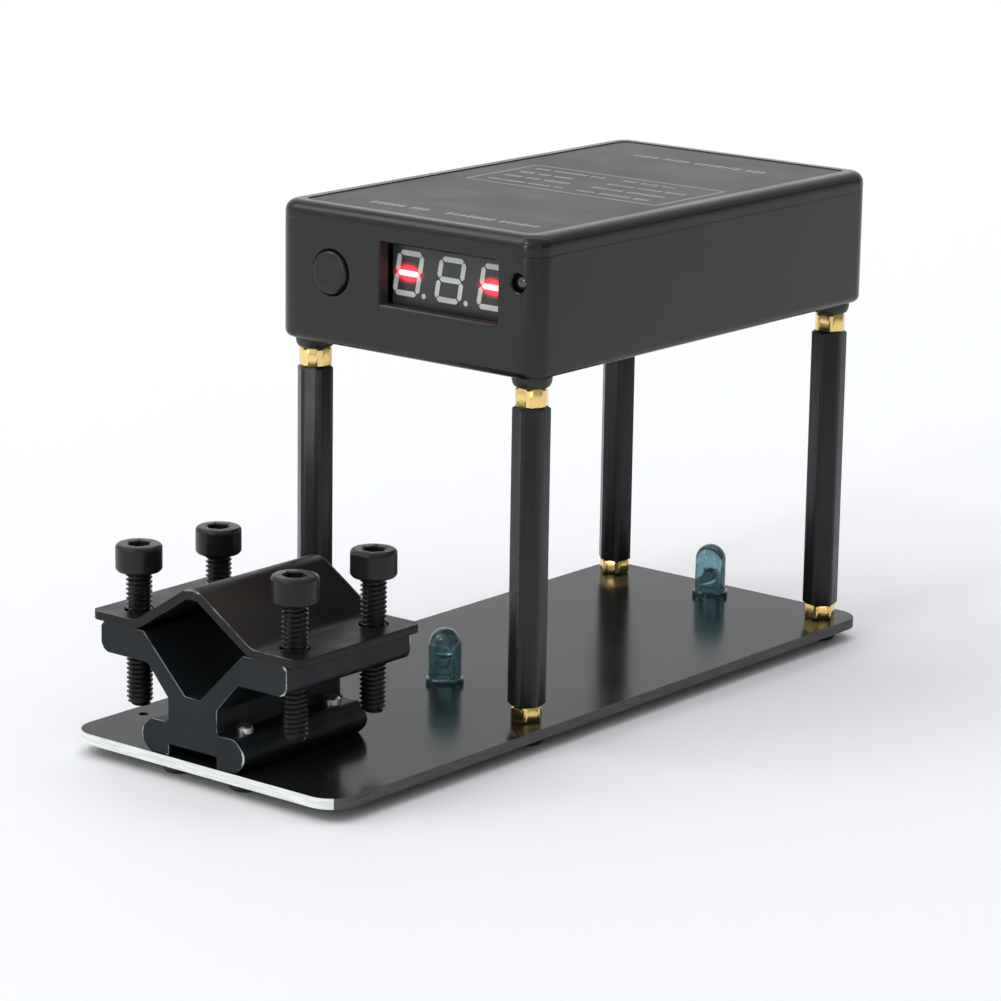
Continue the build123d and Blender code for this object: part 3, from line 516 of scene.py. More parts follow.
def to_object(bm, name, materials):
    """A mesh object from a finished bmesh."""
    bmesh.ops.remove_doubles(bm, verts=bm.verts, dist=1e-7)
    bmesh.ops.dissolve_degenerate(bm, edges=bm.edges, dist=1e-8)
    bmesh.ops.recalc_face_normals(bm, faces=bm.faces)
    shade(bm)
    mesh = bpy.data.meshes.new(name)
    bm.to_mesh(mesh)
    bm.free()
    for material in materials:
        mesh.materials.append(material)
    made = bpy.data.objects.new(name, mesh)
    bpy.context.scene.collection.objects.link(made)
    return made


def place(made, body, slot, *replaced):
    """Puts a piece on its body, in place of CAD nodes. The slot argument is not used."""
    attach(made, body)
    if replaced:
        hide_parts(*replaced)
    return made


def carve(made, *cutters):
    """Cuts the cutters out of a piece for good, and throws them away."""
    for cutter in cutters:
        step = made.modifiers.new("cut", "BOOLEAN")
        step.object = cutter
        step.operation = "DIFFERENCE"
        step.solver = "EXACT"
    bpy.context.view_layer.update()
    graph = bpy.context.evaluated_depsgraph_get()
    mesh = bpy.data.meshes.new_from_object(made.evaluated_get(graph))
    made.modifiers.clear()
    old = made.data
    made.data = mesh
    bpy.data.meshes.remove(old)
    for cutter in cutters:
        bpy.data.objects.remove(cutter)
    bm = bmesh.new()
    bm.from_mesh(mesh)
    bmesh.ops.remove_doubles(bm, verts=bm.verts, dist=2e-7)
    shade(bm)
    bm.to_mesh(mesh)
    bm.free()
    return made


def cutter_from(build):
    """A throwaway object from a function that fills a bmesh."""
    bm = bmesh.new()
    build(bm)
    return to_object(bm, "cutter", [])


def plan_centre(low, high):
    """The middle of a box seen from above."""
    return ((low.x + high.x) / 2, (low.y + high.y) / 2)


def inset_rectangle(width, length, corner, steps):
    """A rounded rectangle as a function of how far it is drawn in."""
    def outline(inset):
        return rounded_rectangle(width - 2 * inset, length - 2 * inset, corner - inset, steps)
    return outline


def middle_of(node):
    low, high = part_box(node)
    return (low + high) / 2


def separate_boxes(node):
    """The boxes of a CAD node's separate solids, sorted by place."""
    mesh = frame["nodes"][node].data
    bm = bmesh.new()
    bm.from_mesh(mesh)
    bmesh.ops.remove_doubles(bm, verts=bm.verts, dist=1e-6)
    left = set(bm.verts)
    boxes = []
    while left:
        stack = [left.pop()]
        points = []
        while stack:
            vert = stack.pop()
            points.append(vert.co.copy())
            for edge in vert.link_edges:
                other = edge.other_vert(vert)
                if other in left:
                    left.remove(other)
                    stack.append(other)
        low = Vector([min(p[i] for p in points) for i in range(3)])
        high = Vector([max(p[i] for p in points) for i in range(3)])
        boxes.append((low, high))
    bm.free()
    return sorted(boxes, key=lambda b: (round(b[0].y, 4), round(b[0].x, 4)))


# --- base plate -------------------------------------------------------------------------
PLATE_CORNER = 4.5 * MM
SPARE_HOLE_RADIUS = 0.65 * MM
SPARE_HOLE_PLACE = (-22.8 * MM, -52.4 * MM)


def make_base_plate(mask, edge, painted_shade_edge):
    low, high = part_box("base_plate")
    break_edge, rim = 0.12 * MM, 0.15 * MM
    outline = inset_rectangle(high.x - low.x, high.y - low.y, PLATE_CORNER, 12)
    bm = bmesh.new()
    soft_prism(bm, outline, low.z, high.z, break_edge, break_edge, steps=2)
    bm.normal_update()
    for face in bm.faces:
        if abs(face.normal.z) < 0.99:
            # Right and rear edges, which face away from the key light, get the dark copy of the board-edge
            # colour: painted shade. Front and left edges keep the board's own pale edge colour.
            face.material_index = 2 if face.normal.x + face.normal.y > 0 else 1
    plate = to_object(bm, "base_plate_board", [mask, edge, painted_shade_edge])

    def spare_hole(bm):
        radius = SPARE_HOLE_RADIUS
        profile = [(radius + 2 * rim, low.z - rim), (radius, low.z + rim), (radius, high.z - rim)]
        lathe(bm, profile + [(radius + 2 * rim, high.z + rim)], SPARE_HOLE_PLACE, 24)

    place(carve(plate, cutter_from(spare_hole)), "stand", "board_black", "base_plate")


# --- legs -------------------------------------------------------------------------------
def hex_piece(bm, box, across_flats, turn, chamfer, corner=0.985):
    """A hexagonal bar with its points turned back to a cone at both ends."""
    low, high = box
    centre = plan_centre(low, high)
    full = polygon_ring(across_flats, 6, 48, turn, corner)
    end = polygon_ring(across_flats, 6, 48, turn, 0.90)
    end = [(x * (1 - chamfer / across_flats), y * (1 - chamfer / across_flats)) for x, y in end]
    rings = [ring(end, low.z, centre), ring(full, low.z + chamfer, centre)]
    rings += [ring(full, high.z - chamfer, centre), ring(end, high.z, centre)]
    loft(bm, rings)


def make_legs(black, brass, nylon):
    column_flats, brass_flats = 5.0 * MM, 4.5 * MM
    turns = {"front_left": 23, "front_right": 39, "rear_left": 15, "rear_right": 41}
    brass_turns = {"front_left": 2, "front_right": 30, "rear_left": 50, "rear_right": 20}
    for leg in CORNERS:
        bm = bmesh.new()
        hex_piece(bm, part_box(f"leg_column_{leg}"), column_flats, turns[leg], 0.22 * MM)
        column = to_object(bm, f"column_{leg}", [black])
        place(column, "stand", "column_black", f"leg_column_{leg}")
    for node, sign in (("leg_nuts", 1), ("leg_spacers", -1)):
        for i, (leg, box) in enumerate(zip(CORNERS, separate_boxes(node))):
            bm = bmesh.new()
            hex_piece(bm, box, brass_flats, sign * brass_turns[leg], 0.3 * MM, 0.97)
            made = to_object(bm, f"{node}_{leg}", [brass])
            place(made, "stand", "brass", *([node] if i == 0 else []))
    for i, (leg, (low, high)) in enumerate(zip(CORNERS, separate_boxes("leg_collars"))):
        bm = bmesh.new()
        radius = (high.x - low.x) / 2
        centre = plan_centre(low, high)
        rise = high.z - low.z
        profile = [(0, low.z), (radius * 0.78, low.z), (radius * 0.88, low.z + rise * 0.1)]
        profile += [(radius * 0.96, low.z + rise * 0.35), (radius, low.z + rise * 0.7)]
        profile += [(radius, high.z - rise * 0.05), (radius * 0.98, high.z), (0, high.z)]
        lathe(bm, profile, centre)
        made = to_object(bm, f"leg_collar_{leg}", [nylon])
        place(made, "stand", "collar_black", *(["leg_collars"] if i == 0 else []))


# --- enclosure --------------------------------------------------------------------------
BOX_CORNER = 3.4 * MM
WALL = 2.0 * MM
LID_EDGE = 1.8 * MM
BASE_EDGE = 1.2 * MM
SEAM_EDGE = 0.07 * MM
MOUTH = 0.22 * MM
LABEL_CORNER = 1.5 * MM


def flared_window(bm, low, high, depth_end):
    """A cutter for a window in the front wall, its rim broken by a small flare."""
    mouth = low.y
    rings = []
    for y, grow in ((mouth - MM, 2 * MOUTH), (mouth, MOUTH), (mouth + MOUTH, 0), (depth_end, 0)):
        corner = 0.35 * MM + grow
        outline = rounded_rectangle(high.x - low.x + 2 * grow, high.z - low.z + 2 * grow, corner, 4)
        middle = (low + high) / 2
        rings.append([Vector((middle.x + x, y, middle.z + z)) for x, z in outline])
    loft(bm, rings)


def flared_hole(bm, x, z, mouth, radius, depth):
    """A cutter for a round hole in the front wall, its rim broken by a small flare."""
    profile = [(radius + 2 * MOUTH, -MM), (radius + MOUTH, 0), (radius, MOUTH), (radius, depth)]
    lathe(bm, profile, (0, 0), 48, facing_front(x, z, mouth))


def make_enclosure_base(plastic, inside):
    low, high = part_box("enclosure_base")
    centre = plan_centre(low, high)
    width, length = high.x - low.x, high.y - low.y
    outline = inset_rectangle(width, length, BOX_CORNER, 12)
    bm = bmesh.new()
    soft_prism(bm, outline, low.z, high.z, BASE_EDGE, SEAM_EDGE, 6, centre)
    shell = to_object(bm, "enclosure_base_shell", [plastic])

    def hollow(bm):
        inner = rounded_rectangle(width - 2 * WALL, length - 2 * WALL, BOX_CORNER - WALL, 8)
        loft(bm, [ring(inner, low.z + WALL, centre), ring(inner, high.z + MM, centre)])

    front = low.y
    window_low, window_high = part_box("display_module")
    side_gap = 0.1 * MM
    window_low = Vector((window_low.x - side_gap, front, window_low.z + 0.2 * MM))
    window_high = Vector((window_high.x + side_gap, front, window_high.z - 0.2 * MM))
    cap = middle_of("button_cap")
    cap_low, cap_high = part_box("button_cap")
    lens = middle_of("indicator_lens")
    lens_low, lens_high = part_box("indicator_lens")
    hole = (cap_high.z - cap_low.z) / 2 - 0.35 * MM
    lens_hole = (lens_high.z - lens_low.z) / 2 + 0.02 * MM
    socket_low, socket_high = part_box("charge_socket")
    gap = 0.15 * MM

    def socket(bm):
        across, up = socket_high.x - socket_low.x + 2 * gap, socket_high.z - socket_low.z + 2 * gap
        middle = (socket_low + socket_high) / 2
        rings = []
        stations = ((high.y + MM, 2 * MOUTH), (high.y, MOUTH), (high.y - MOUTH, 0), (high.y - 2 * WALL, 0))
        for y, grow in stations:
            outline = rounded_rectangle(across + 2 * grow, up + 2 * grow, 0.4 * MM + grow, 4)
            rings.append([Vector((middle.x + x, y, middle.z + z)) for x, z in outline])
        loft(bm, rings)

    def gate(node):
        def build(bm):
            radius = 2.65 * MM
            at = middle_of(node)
            profile = [(radius + 2 * MOUTH, low.z - MM), (radius + MOUTH, low.z)]
            profile += [(radius, low.z + MOUTH), (radius, low.z + 2 * WALL)]
            lathe(bm, profile, (at.x, at.y))
        return build

    cutters = [
        cutter_from(hollow),
        cutter_from(lambda bm: flared_window(bm, window_low, window_high, front + 1.5 * WALL)),
        cutter_from(lambda bm: flared_hole(bm, cap.x, cap.z, front, hole, 1.5 * WALL)),
        cutter_from(lambda bm: flared_hole(bm, lens.x, lens.z, front, lens_hole, lens_high.y - front + gap)),
        cutter_from(socket),
        cutter_from(gate("light_sensor_front")),
        cutter_from(gate("light_sensor_rear")),
    ]
    place(carve(shell, *cutters), "stand", "case_black", "enclosure_base")
    shell.data.materials.append(inside)
    reveal = 0.3 * MM
    for face in shell.data.polygons:
        at = face.center
        across = window_low.x - reveal < at.x < window_high.x + reveal
        upright = window_low.z - reveal < at.z < window_high.z + reveal
        if across and upright and front + MOUTH < at.y < front + 1.5 * WALL:
            face.material_index = len(shell.data.materials) - 1


def make_enclosure_lid(plastic, film, ink):
    low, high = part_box("enclosure_lid")
    base_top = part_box("enclosure_base")[1].z
    centre = plan_centre(low, high)
    width, length = high.x - low.x, high.y - low.y
    outline = inset_rectangle(width, length, BOX_CORNER, 12)
    bm = bmesh.new()
    soft_prism(bm, outline, base_top, high.z, SEAM_EDGE, LID_EDGE, 7, centre)
    lid = to_object(bm, "enclosure_lid_shell", [plastic])
    label_low, label_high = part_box("top_label")
    label_width, label_length = label_high.x - label_low.x, label_high.y - label_low.y
    gap = 0.06 * MM

    def recess(bm):
        rings = []
        for z, grow in ((label_low.z, gap), (high.z - 0.05 * MM, gap), (high.z, 0.1 * MM), (high.z + MM, MM)):
            shape = rounded_rectangle(label_width + 2 * grow, label_length + 2 * grow, LABEL_CORNER + grow, 8)
            rings.append(ring(shape, z, centre))
        loft(bm, rings)

    def inside(bm):
        inner = rounded_rectangle(width - 2 * WALL, length - 2 * WALL, BOX_CORNER - WALL, 8)
        loft(bm, [ring(inner, base_top - MM, centre), ring(inner, high.z - WALL, centre)])

    place(carve(lid, cutter_from(recess), cutter_from(inside)), "stand", "case_black", "enclosure_lid")

    bm = bmesh.new()
    label_outline = inset_rectangle(label_width, label_length, LABEL_CORNER, 8)
    soft_prism(bm, label_outline, label_low.z, label_high.z, 0.02 * MM, 0.08 * MM, 2, centre)
    label = to_object(bm, "top_label_film", [film])
    place(label, "stand", "label_film", "top_label")
    make_label_print(ink, label_high.z, centre)


def make_label_print(ink, surface, centre):
    """Plain blocks where the label is printed: a line at each end and a framed table. No lettering."""
    rng = random.Random(7)
    bm = bmesh.new()
    thickness = 0.015 * MM

    def stroke(x, y, width, height):
        corner = min(width, height) * 0.3
        outline = rounded_rectangle(width, height, corner, 2)
        loft(bm, [ring(outline, surface, (x, y)), ring(outline, surface + thickness, (x, y))])

    def line_of_blocks(x_from, x_to, y, height, width):
        x = x_from
        while x < x_to - width:
            for _ in range(rng.randint(3, 8)):
                block = width * rng.uniform(0.8, 1.15)
                if x + block <= x_to:
                    stroke(x + block / 2, y, block, height * rng.choice((1.0, 1.0, 0.72)))
                x += block + width * 0.3
            x += width

    rear, front = centre[1] + 29.1 * MM, centre[1] - 34.1 * MM
    line_of_blocks(-13.3 * MM, -0.6 * MM, front, 1.7 * MM, 1.0 * MM)
    line_of_blocks(1.4 * MM, 19.7 * MM, front, 1.7 * MM, 1.0 * MM)
    line_of_blocks(-12.0 * MM, 13.7 * MM, rear, 1.7 * MM, 1.0 * MM)
    frame_low = (-17.0 * MM, centre[1] - 7.4 * MM)
    frame_high = (19.7 * MM, centre[1] + 10.1 * MM)
    middle = ((frame_low[0] + frame_high[0]) / 2, (frame_low[1] + frame_high[1]) / 2)
    span = (frame_high[0] - frame_low[0], frame_high[1] - frame_low[1])
    rule = 0.45 * MM
    for side in (-1, 1):
        stroke(middle[0], middle[1] + side * span[1] / 2, span[0], rule)
        stroke(middle[0] + side * span[0] / 2, middle[1], rule, span[1])
    for row in range(4):
        y = frame_high[1] - span[1] * (row + 0.7) / 4.4
        left = frame_low[0] + 2.2 * MM
        line_of_blocks(left, left + rng.uniform(11, 15) * MM, y, 1.2 * MM, 0.7 * MM)
        left = middle[0] + 1.2 * MM
        line_of_blocks(left, left + rng.uniform(9, 15) * MM, y, 1.2 * MM, 0.7 * MM)
    made = to_object(bm, "label_print", [ink])
    place(made, "stand", "label_film")


# --- front panel ------------------------------------------------------------------------
def make_button(plastic):
    low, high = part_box("button_cap")
    centre = (low + high) / 2
    radius = (high.z - low.z) / 2 - 0.45 * MM
    edge = 0.5 * MM
    length = high.y - low.y
    profile = [(0, 0.12 * MM), (radius * 0.55, 0.07 * MM), (radius - edge, 0.0)]
    for i in range(1, 5):
        angle = math.pi / 2 * i / 4
        profile.append((radius - edge + edge * math.sin(angle), edge * (1 - math.cos(angle))))
    skirt = 2.9 * MM
    profile += [(radius, skirt), (radius + 0.45 * MM, skirt), (radius + 0.45 * MM, skirt + 0.7 * MM)]
    profile += [(1.6 * MM, skirt + 0.7 * MM), (1.6 * MM, length), (0, length)]
    bm = bmesh.new()
    lathe(bm, profile, (0, 0), 64, facing_front(centre.x, centre.z, low.y))
    cap = to_object(bm, "button_cap_moulding", [plastic])
    place(cap, "power_button", "button_black", "button_cap")


def make_indicator_lens(glossy):
    low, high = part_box("indicator_lens")
    centre = (low + high) / 2
    radius = (high.z - low.z) / 2
    depth = high.y - low.y
    profile = [(0, 0)]
    for i in range(1, 8):
        angle = math.pi / 2 * i / 7
        profile.append((radius * math.sin(angle), radius * 0.75 * (1 - math.cos(angle))))
    profile += [(radius, depth), (0, depth)]
    bm = bmesh.new()
    lathe(bm, profile, (0, 0), 48, facing_front(centre.x, centre.z, low.y))
    lens = to_object(bm, "indicator_lens_dome", [glossy])
    place(lens, "stand", "lens_dark", "indicator_lens")


# --- light emitters ---------------------------------------------------------------------
def make_emitter(where, epoxy, steel, die_material):
    low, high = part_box(f"emitter_{where}")
    centre = (0.0, (low.y + high.y) / 2)
    body, flange, flange_top = 2.5 * MM, 2.9 * MM, 1.0 * MM
    profile = [(0, low.z), (flange - 0.1 * MM, low.z), (flange, low.z + 0.1 * MM)]
    profile += [(flange, low.z + flange_top - 0.12 * MM), (flange - 0.12 * MM, low.z + flange_top)]
    profile += [(body + 0.08 * MM, low.z + flange_top), (body, low.z + flange_top + 0.1 * MM)]
    dome_start = high.z - body
    profile.append((body, dome_start))
    for i in range(1, 11):
        angle = math.pi / 2 * i / 10
        profile.append((0 if i == 10 else body * math.cos(angle), dome_start + body * math.sin(angle)))
    bm = bmesh.new()
    lathe(bm, profile, centre, 64)
    lens = to_object(bm, f"emitter_{where}_epoxy", [epoxy])
    place(lens, "stand", "led_blue", f"emitter_{where}")
    make_lead_frame(where, centre, low.z, steel, die_material)


def make_lead_frame(where, centre, floor, steel, die_material):
    """The anvil with its reflector cup, and the post, as seen through the epoxy."""
    bm = bmesh.new()
    x, y = centre
    half_pitch = 1.27 * MM
    thick = 0.25 * MM

    def slab(points):
        outline = [(x + px * MM, floor + pz * MM) for px, pz in points]
        extrude_along_y(bm, outline, y - thick, y + thick, 0.05 * MM, 1, 0)

    anvil = [(-1.52, 0.4), (-1.02, 0.4), (-1.02, 2.0), (0.55, 3.0), (0.75, 4.2), (-0.75, 4.2)]
    post = [(1.02, 0.4), (1.52, 0.4), (1.52, 4.0), (1.15, 4.4), (0.98, 4.0), (1.1, 2.6), (1.02, 2.0)]
    slab(anvil + [(-0.75, 3.6), (-1.52, 2.6)])
    slab(post)
    cup_floor, cup_top = floor + 4.2 * MM, floor + 4.75 * MM
    profile = [(0, cup_floor), (0.6 * MM, cup_floor), (0.85 * MM, cup_top), (0.75 * MM, cup_top)]
    profile += [(0.4 * MM, cup_floor + 0.15 * MM), (0, cup_floor + 0.15 * MM)]
    lathe(bm, profile, (x, y), 24)
    made = to_object(bm, f"emitter_{where}_lead_frame", [steel])
    place(made, "stand", "tin")
    bm = bmesh.new()
    outline = rounded_rectangle(0.36 * MM, 0.36 * MM, 0.03 * MM, 2)
    loft(bm, [ring(outline, cup_floor + 0.15 * MM, (x, y)), ring(outline, cup_floor + 0.3 * MM, (x, y))])
    die = to_object(bm, f"emitter_{where}_die", [die_material])
    place(die, "stand", "led_blue")
    curve = bpy.data.curves.new(f"emitter_{where}_bond_wire", "CURVE")
    curve.dimensions = "3D"
    curve.bevel_depth = 0.025 * MM
    spline = curve.splines.new("BEZIER")
    spline.bezier_points.add(2)
    points = ((0, 0, 4.5), (0.6, 0, 5.2), (half_pitch / MM - 0.08, 0, 4.35))
    for point, (px, py, pz) in zip(spline.bezier_points, points):
        point.co = (x + px * MM, y + py * MM, floor + pz * MM)
        point.handle_left_type = point.handle_right_type = "AUTO"
    wire = bpy.data.objects.new(f"emitter_{where}_bond_wire", curve)
    curve.materials.append(steel)
    bpy.context.scene.collection.objects.link(wire)
    place(wire, "stand", "tin")


# --- barrel clamp -----------------------------------------------------------------------
CLAMP_X = -1.35 * MM
EDGE_BREAK = 0.26 * MM


def mirrored(half):
    return half + [(-x, z) for x, z in reversed(half)]


def make_clamp_body(anodised, bare):
    low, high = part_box("clamp_body")
    half = [(4.75, 1.8), (4.75, 0), (8.3, 0), (10.6, 2.5), (8.1, 4.9), (4.65, 4.9), (4.65, 8.6), (8.7, 13.1),
            (17.9, 13.1), (17.9, 17.55), (9.65, 17.55), (1.5, 9.4)]
    radii = [0.2, 0.3, 1.4, 1.6, 1.2, 0.5, 0.6, 0.6, 1.2, 0.6, 0.4, 0.8]
    points = [(CLAMP_X + x * MM, low.z + z * MM) for x, z in mirrored(half)]
    outline = rounded_outline(points, [r * MM for r in radii + radii[::-1]])
    bm = bmesh.new()
    extrude_along_y(bm, outline, low.y, high.y, EDGE_BREAK)
    body = to_object(bm, "clamp_body_extrusion", [anodised, bare])
    place(body, "stand", "anodised_black", "clamp_body")


def make_clamp_plate(coated, bare):
    low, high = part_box("clamp_plate")
    thick, rise, bend, half_width = 1.25 * MM, 7.2 * MM, 11.3 * MM, 20.25 * MM
    slope = math.atan2(rise, bend)
    shift = thick * math.tan(slope / 2)
    seat = low.z
    top = [(half_width, seat + thick), (bend, seat + thick)]
    ridge_top = (0, seat + thick + rise)
    ridge_under = (0, seat + rise + thick - thick / math.cos(slope))
    under = [(bend - shift, seat), (half_width, seat)]
    points = top + [ridge_top] + [(-x, z) for x, z in reversed(top)]
    points += [(-x, z) for x, z in reversed(under)] + [ridge_under] + under
    points = [(x + CLAMP_X, z) for x, z in points]
    radii = [0.25, 3.25, 3.0, 3.25, 0.25, 0.25, 4.5, 1.75, 4.5, 0.25]
    outline = rounded_outline(points, [r * MM for r in radii], 6)
    bm = bmesh.new()
    extrude_along_y(bm, outline, low.y, high.y, EDGE_BREAK)
    plate = to_object(bm, "clamp_plate_sheet", [coated, bare])
    middle = plan_centre(low, high)

    def outside_corners(bm):
        outer = rounded_rectangle(60 * MM, 50 * MM, 1 * MM, 8)
        inner = rounded_rectangle(high.x - low.x, high.y - low.y, 1.8 * MM, 8)
        bottom, top_z = low.z - MM, high.z + MM
        rings = [ring(inner, bottom, middle), ring(outer, bottom, middle)]
        rings += [ring(outer, top_z, middle), ring(inner, top_z, middle)]
        loft(bm, rings + [rings[0]], False, False)

    def screw_hole(at):
        def build(bm):
            radius = 2.15 * MM
            profile = [(radius, seat - MM), (radius, seat + thick - 0.15 * MM)]
            profile += [(radius + 0.15 * MM, seat + thick), (radius + 0.4 * MM, seat + thick + 0.25 * MM)]
            lathe(bm, profile, (at.x, at.y), 40)
        return build

    holes = [cutter_from(screw_hole(middle_of(f"clamp_screw_{key}"))) for key in CORNERS]
    place(carve(plate, cutter_from(outside_corners), *holes), "upper_jaw", "plate_black", "clamp_plate")


def make_clamp_screw(key, oxide):
    """A socket cap screw: hexagon socket, rounded and knurled head, rolled thread."""
    low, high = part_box(f"clamp_screw_{key}")
    centre = plan_centre(low, high)
    count = 64
    head, shank, head_height = 3.4 * MM, 1.94 * MM, 4.0 * MM
    pitch, depth = 0.7 * MM, 0.36 * MM
    edge = 0.55 * MM
    top = high.z
    seat = top - head_height
    knurl = 0.05 * MM

    def knurled(radius):
        return [(x * (1 - (i % 2) * knurl / radius), y * (1 - (i % 2) * knurl / radius))
                for i, (x, y) in enumerate(circle(radius, count))]

    def threaded(z):
        out = []
        for i in range(count):
            phase = ((z - low.z) / pitch - i / count) % 1.0
            cut = min(1.0, max(0.0, abs(phase - 0.5) * 4 - 0.75))
            fade = min(1.0, max(0.0, (seat - z) / pitch))
            start = max(0.0, 1 - (z - low.z) / (1.2 * pitch)) * 0.4 * MM
            radius = shank - depth * (1 - cut) * fade - start
            angle = 2 * math.pi * i / count
            out.append((radius * math.cos(angle), radius * math.sin(angle)))
        return out

    turn = {"front_left": 12, "front_right": 40, "rear_left": 25, "rear_right": 3}[key]
    hexagon = polygon_ring(3.0 * MM, 6, count, turn)
    wide_hexagon = [(x * 1.16, y * 1.16) for x, y in hexagon]
    rings = [ring([(x * 0.1, y * 0.1) for x, y in hexagon], top - 2.5 * MM, centre)]
    rings += [ring(hexagon, top - 2.0 * MM, centre), ring(hexagon, top - 0.15 * MM, centre)]
    rings.append(ring(wide_hexagon, top, centre))
    for i in range(5):
        angle = math.pi / 2 * i / 4
        radius = head - edge + edge * math.sin(angle)
        rings.append(ring(circle(radius, count), top - edge * (1 - math.cos(angle)), centre))
    rings.append(ring(knurled(head), top - edge - 0.1 * MM, centre))
    rings.append(ring(knurled(head), seat + 0.4 * MM, centre))
    rings.append(ring(circle(head - 0.05 * MM, count), seat + 0.3 * MM, centre))
    rings.append(ring(circle(head - 0.3 * MM, count), seat, centre))
    rings.append(ring(circle(shank + 0.15 * MM, count), seat, centre))
    rows = int((seat - low.z) / pitch * 6)
    for i in range(rows + 1):
        z = seat - (seat - low.z) * i / rows
        rings.append(ring(threaded(z), z, centre))
    bm = bmesh.new()
    loft(bm, rings)
    screw = to_object(bm, f"cap_screw_{key}", [oxide])
    place(screw, f"clamp_screw_{key}", "screw_black", f"clamp_screw_{key}")


# --- the CAD nodes that stay ------------------------------------------------------------
def finish_cad_nodes(finishes):
    """Gives every CAD node its procedural material, by the slot the record names."""
    slots = {s["node"]: s["material_slot"] for s in frame["record"]["subparts"]}
    for node, made in frame["nodes"].items():
        made.data.materials.clear()
        made.data.materials.append(finishes[slots[node]])


def fixing_screw_material(plate_top):
    """Dark up to 2 mm above the plate top, where the heads sit under the plate; bright metal from 4 mm above
    it, on the points.
    """
    finish = Finish("stud_steel")
    finish.roughness(0.2, 0.35, scale=500)
    split = finish.node("ShaderNodeSeparateXYZ")
    finish.link(finish.coordinates.outputs["Object"], split.inputs["Vector"])
    height = split.outputs["Z"]
    above_plate_share = finish.spread(height, 0.0, 1.0, plate_top + 2 * MM, plate_top + 4 * MM)
    speckle = finish.noise(900)
    dark = finish.ramp(speckle, (0.012, 0.012, 0.012), (0.02, 0.02, 0.02))
    bright = finish.ramp(speckle, (0.55, 0.55, 0.56), (0.72, 0.72, 0.72))
    finish.link(finish.mix(above_plate_share, dark, bright), finish.shader.inputs["Base Color"])
    finish.link(above_plate_share, finish.shader.inputs["Metallic"])
    return finish.bump(2400, 0.00002, 0.3).material


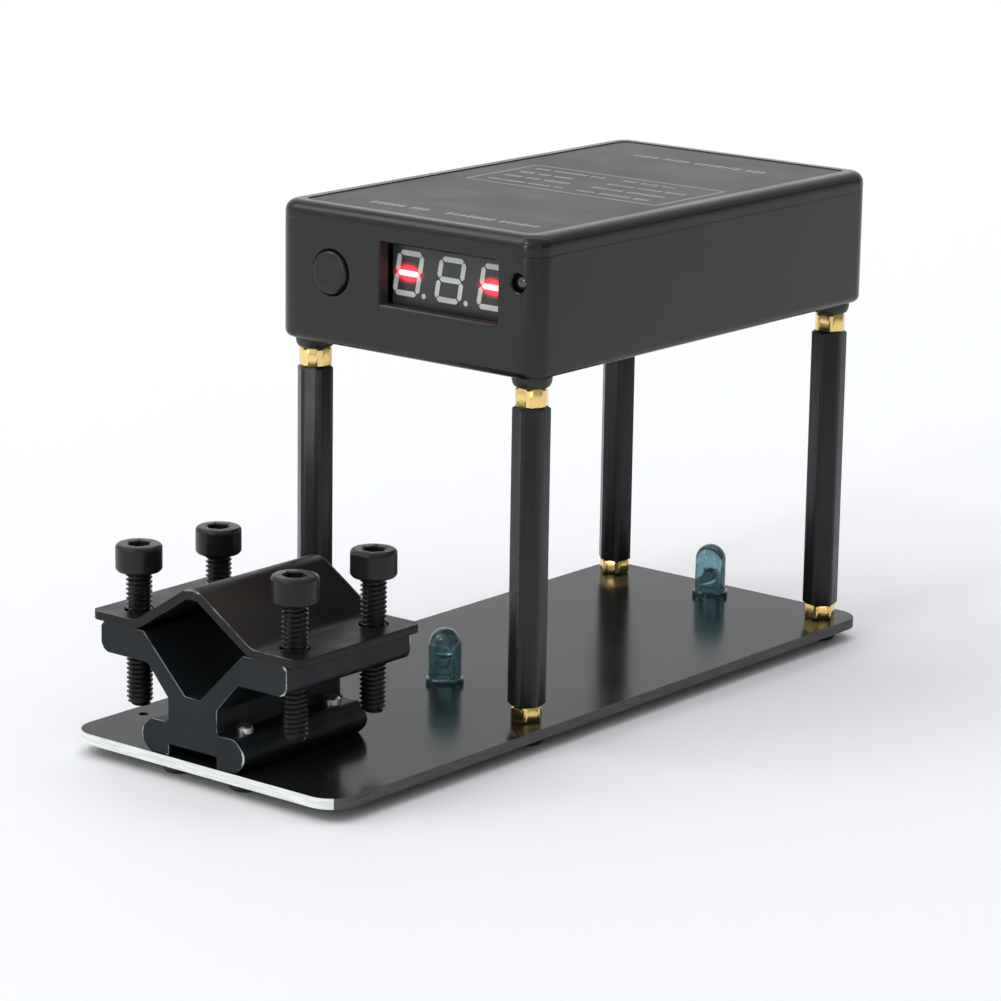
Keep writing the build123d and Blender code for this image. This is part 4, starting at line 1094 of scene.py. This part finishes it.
def make_finishes():
    black = (0.012, 0.012, 0.013)
    return {
        "board_black": solder_mask_material(),
        "screw_black": coated_metal(
            "screw_black", (0.010, 0.010, 0.010), (0.018, 0.018, 0.018), (0.26, 0.38), 0.3, gloss=0.36),
        "brass": turned_metal("brass", (0.83, 0.58, 0.20), (0.92, 0.68, 0.27), (0.14, 0.28)),
        "collar_black": moulded("collar_black", (0.008, 0.008, 0.008), (0.014, 0.014, 0.014), (0.4, 0.55)),
        "stud_steel": fixing_screw_material(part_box("base_plate")[1].z),
        "column_black": coated_metal(
            "column_black", (0.012, 0.0125, 0.0135), (0.018, 0.0185, 0.020), (0.26, 0.36), 0.2, 0.00001,
            gloss=0.38),
        "led_blue": clear_epoxy("led_blue", (0.20, 0.42, 0.48)),
        "sensor_clear": clear_epoxy("sensor_clear", (0.9, 0.93, 0.95)),
        "tin": turned_metal("tin", (0.62, 0.62, 0.60), (0.78, 0.78, 0.76), (0.18, 0.35), 1500),
        "chip_black": moulded("chip_black", black, (0.025, 0.025, 0.025), (0.5, 0.7)),
        "case_black": moulded(
            "case_black", (0.005, 0.0052, 0.0053), (0.0075, 0.0077, 0.0078), (0.2, 0.27), gloss=0.42),
        "label_film": moulded(
            "label_film", (0.018, 0.018, 0.0135), (0.023, 0.023, 0.0175), (0.42, 0.5), 0.00002,
            tint=(1, 1, 0.87)),
        "display_face": display_face_material(),
        "segment_lit": lit_segment_material(),
        "segment_unlit": unlit_segment_material(),
        "lens_dark": moulded("lens_dark", (0.006, 0.006, 0.007), black, (0.05, 0.09), 0.00001, 1.0),
        "button_black": moulded(
            "button_black", (0.006, 0.0062, 0.0062), (0.009, 0.0092, 0.0092), (0.22, 0.3), gloss=0.42),
        "board_green": moulded("board_green", (0.015, 0.11, 0.045), (0.03, 0.17, 0.07), (0.2, 0.35)),
        "can_silver": turned_metal("can_silver", (0.6, 0.6, 0.61), (0.72, 0.72, 0.72), (0.2, 0.35), 1800),
        "can_sleeve": moulded("can_sleeve", (0.01, 0.015, 0.06), (0.02, 0.03, 0.10), (0.2, 0.3)),
        "passive_brown": moulded("passive_brown", (0.16, 0.10, 0.06), (0.30, 0.21, 0.14), (0.4, 0.6)),
        "foam": moulded("foam", (0.05, 0.05, 0.05), (0.11, 0.11, 0.11), (0.8, 0.95), 0.0002),
        "pouch_silver": coated_metal("pouch_silver", (0.5, 0.51, 0.53), (0.64, 0.65, 0.67), (0.3, 0.5), 0.9),
        "wire_red": moulded("wire_red", (0.35, 0.015, 0.015), (0.5, 0.03, 0.03), (0.4, 0.55)),
        "anodised_black": coated_metal(
            "anodised_black", (0.006, 0.0085, 0.0105), (0.011, 0.0145, 0.0175), (0.36, 0.5), 0.2, 0.00005,
            1400, 0.28),
        "plate_black": coated_metal(
            "plate_black", (0.008, 0.0072, 0.0058), (0.014, 0.0126, 0.0102), (0.3, 0.42), 0.2, 0.00003,
            900, 0.24),
    }


finishes = make_finishes()
make_camera()
make_lights()
make_stage()
finish_cad_nodes(finishes)

pale_edge = cut_board_edge_material("board_edge", (0.62, 0.66, 0.62), (0.86, 0.90, 0.86))
# Dark copy of the board edge for the right and rear edges: painted shade.
painted_shade_edge = cut_board_edge_material("board_edge_painted_shade", (0.045, 0.045, 0.045), (0.09, 0.09, 0.085))
make_base_plate(finishes["board_black"], pale_edge, painted_shade_edge)
make_legs(finishes["column_black"], finishes["brass"], finishes["collar_black"])
window_wall = moulded("window_wall", (0.014, 0.013, 0.012), (0.02, 0.018, 0.017), (0.6, 0.75))
make_enclosure_base(finishes["case_black"], window_wall)
ink = moulded("label_ink", (0.20, 0.20, 0.18), (0.28, 0.28, 0.25), (0.4, 0.5), 0.00001)
make_enclosure_lid(finishes["case_black"], finishes["label_film"], ink)
make_button(finishes["button_black"])
make_indicator_lens(finishes["lens_dark"])
die = moulded("emitter_die", (0.35, 0.30, 0.10), (0.5, 0.42, 0.15), (0.3, 0.4), 0.00001)
for where in ("front", "rear"):
    make_emitter(where, finishes["led_blue"], finishes["tin"], die)
# Clamp body edges: mostly rubbed to metal, with a coat colour well above the anodised face's: painted
# highlight along the edges as well as wear.
clamp_edge_highlight = worn_edge_and_highlight("anodised_edge_highlight", (0.09, 0.10, 0.10), (0.60, 0.61, 0.60), (0.35, 0.5), 0.85)
make_clamp_body(finishes["anodised_black"], clamp_edge_highlight)
# Jaw sheet edges: grey-brown wear, with a coat colour lighter than the sheet's face: partly painted
# highlight.
sheet_edge = worn_edge_and_highlight("sheet_edge", (0.05, 0.047, 0.043), (0.34, 0.32, 0.29), (0.35, 0.5), 0.5)
make_clamp_plate(finishes["plate_black"], sheet_edge)
for key in CORNERS:
    make_clamp_screw(key, finishes["screw_black"])

bpy.context.scene.view_settings.view_transform = "Standard"
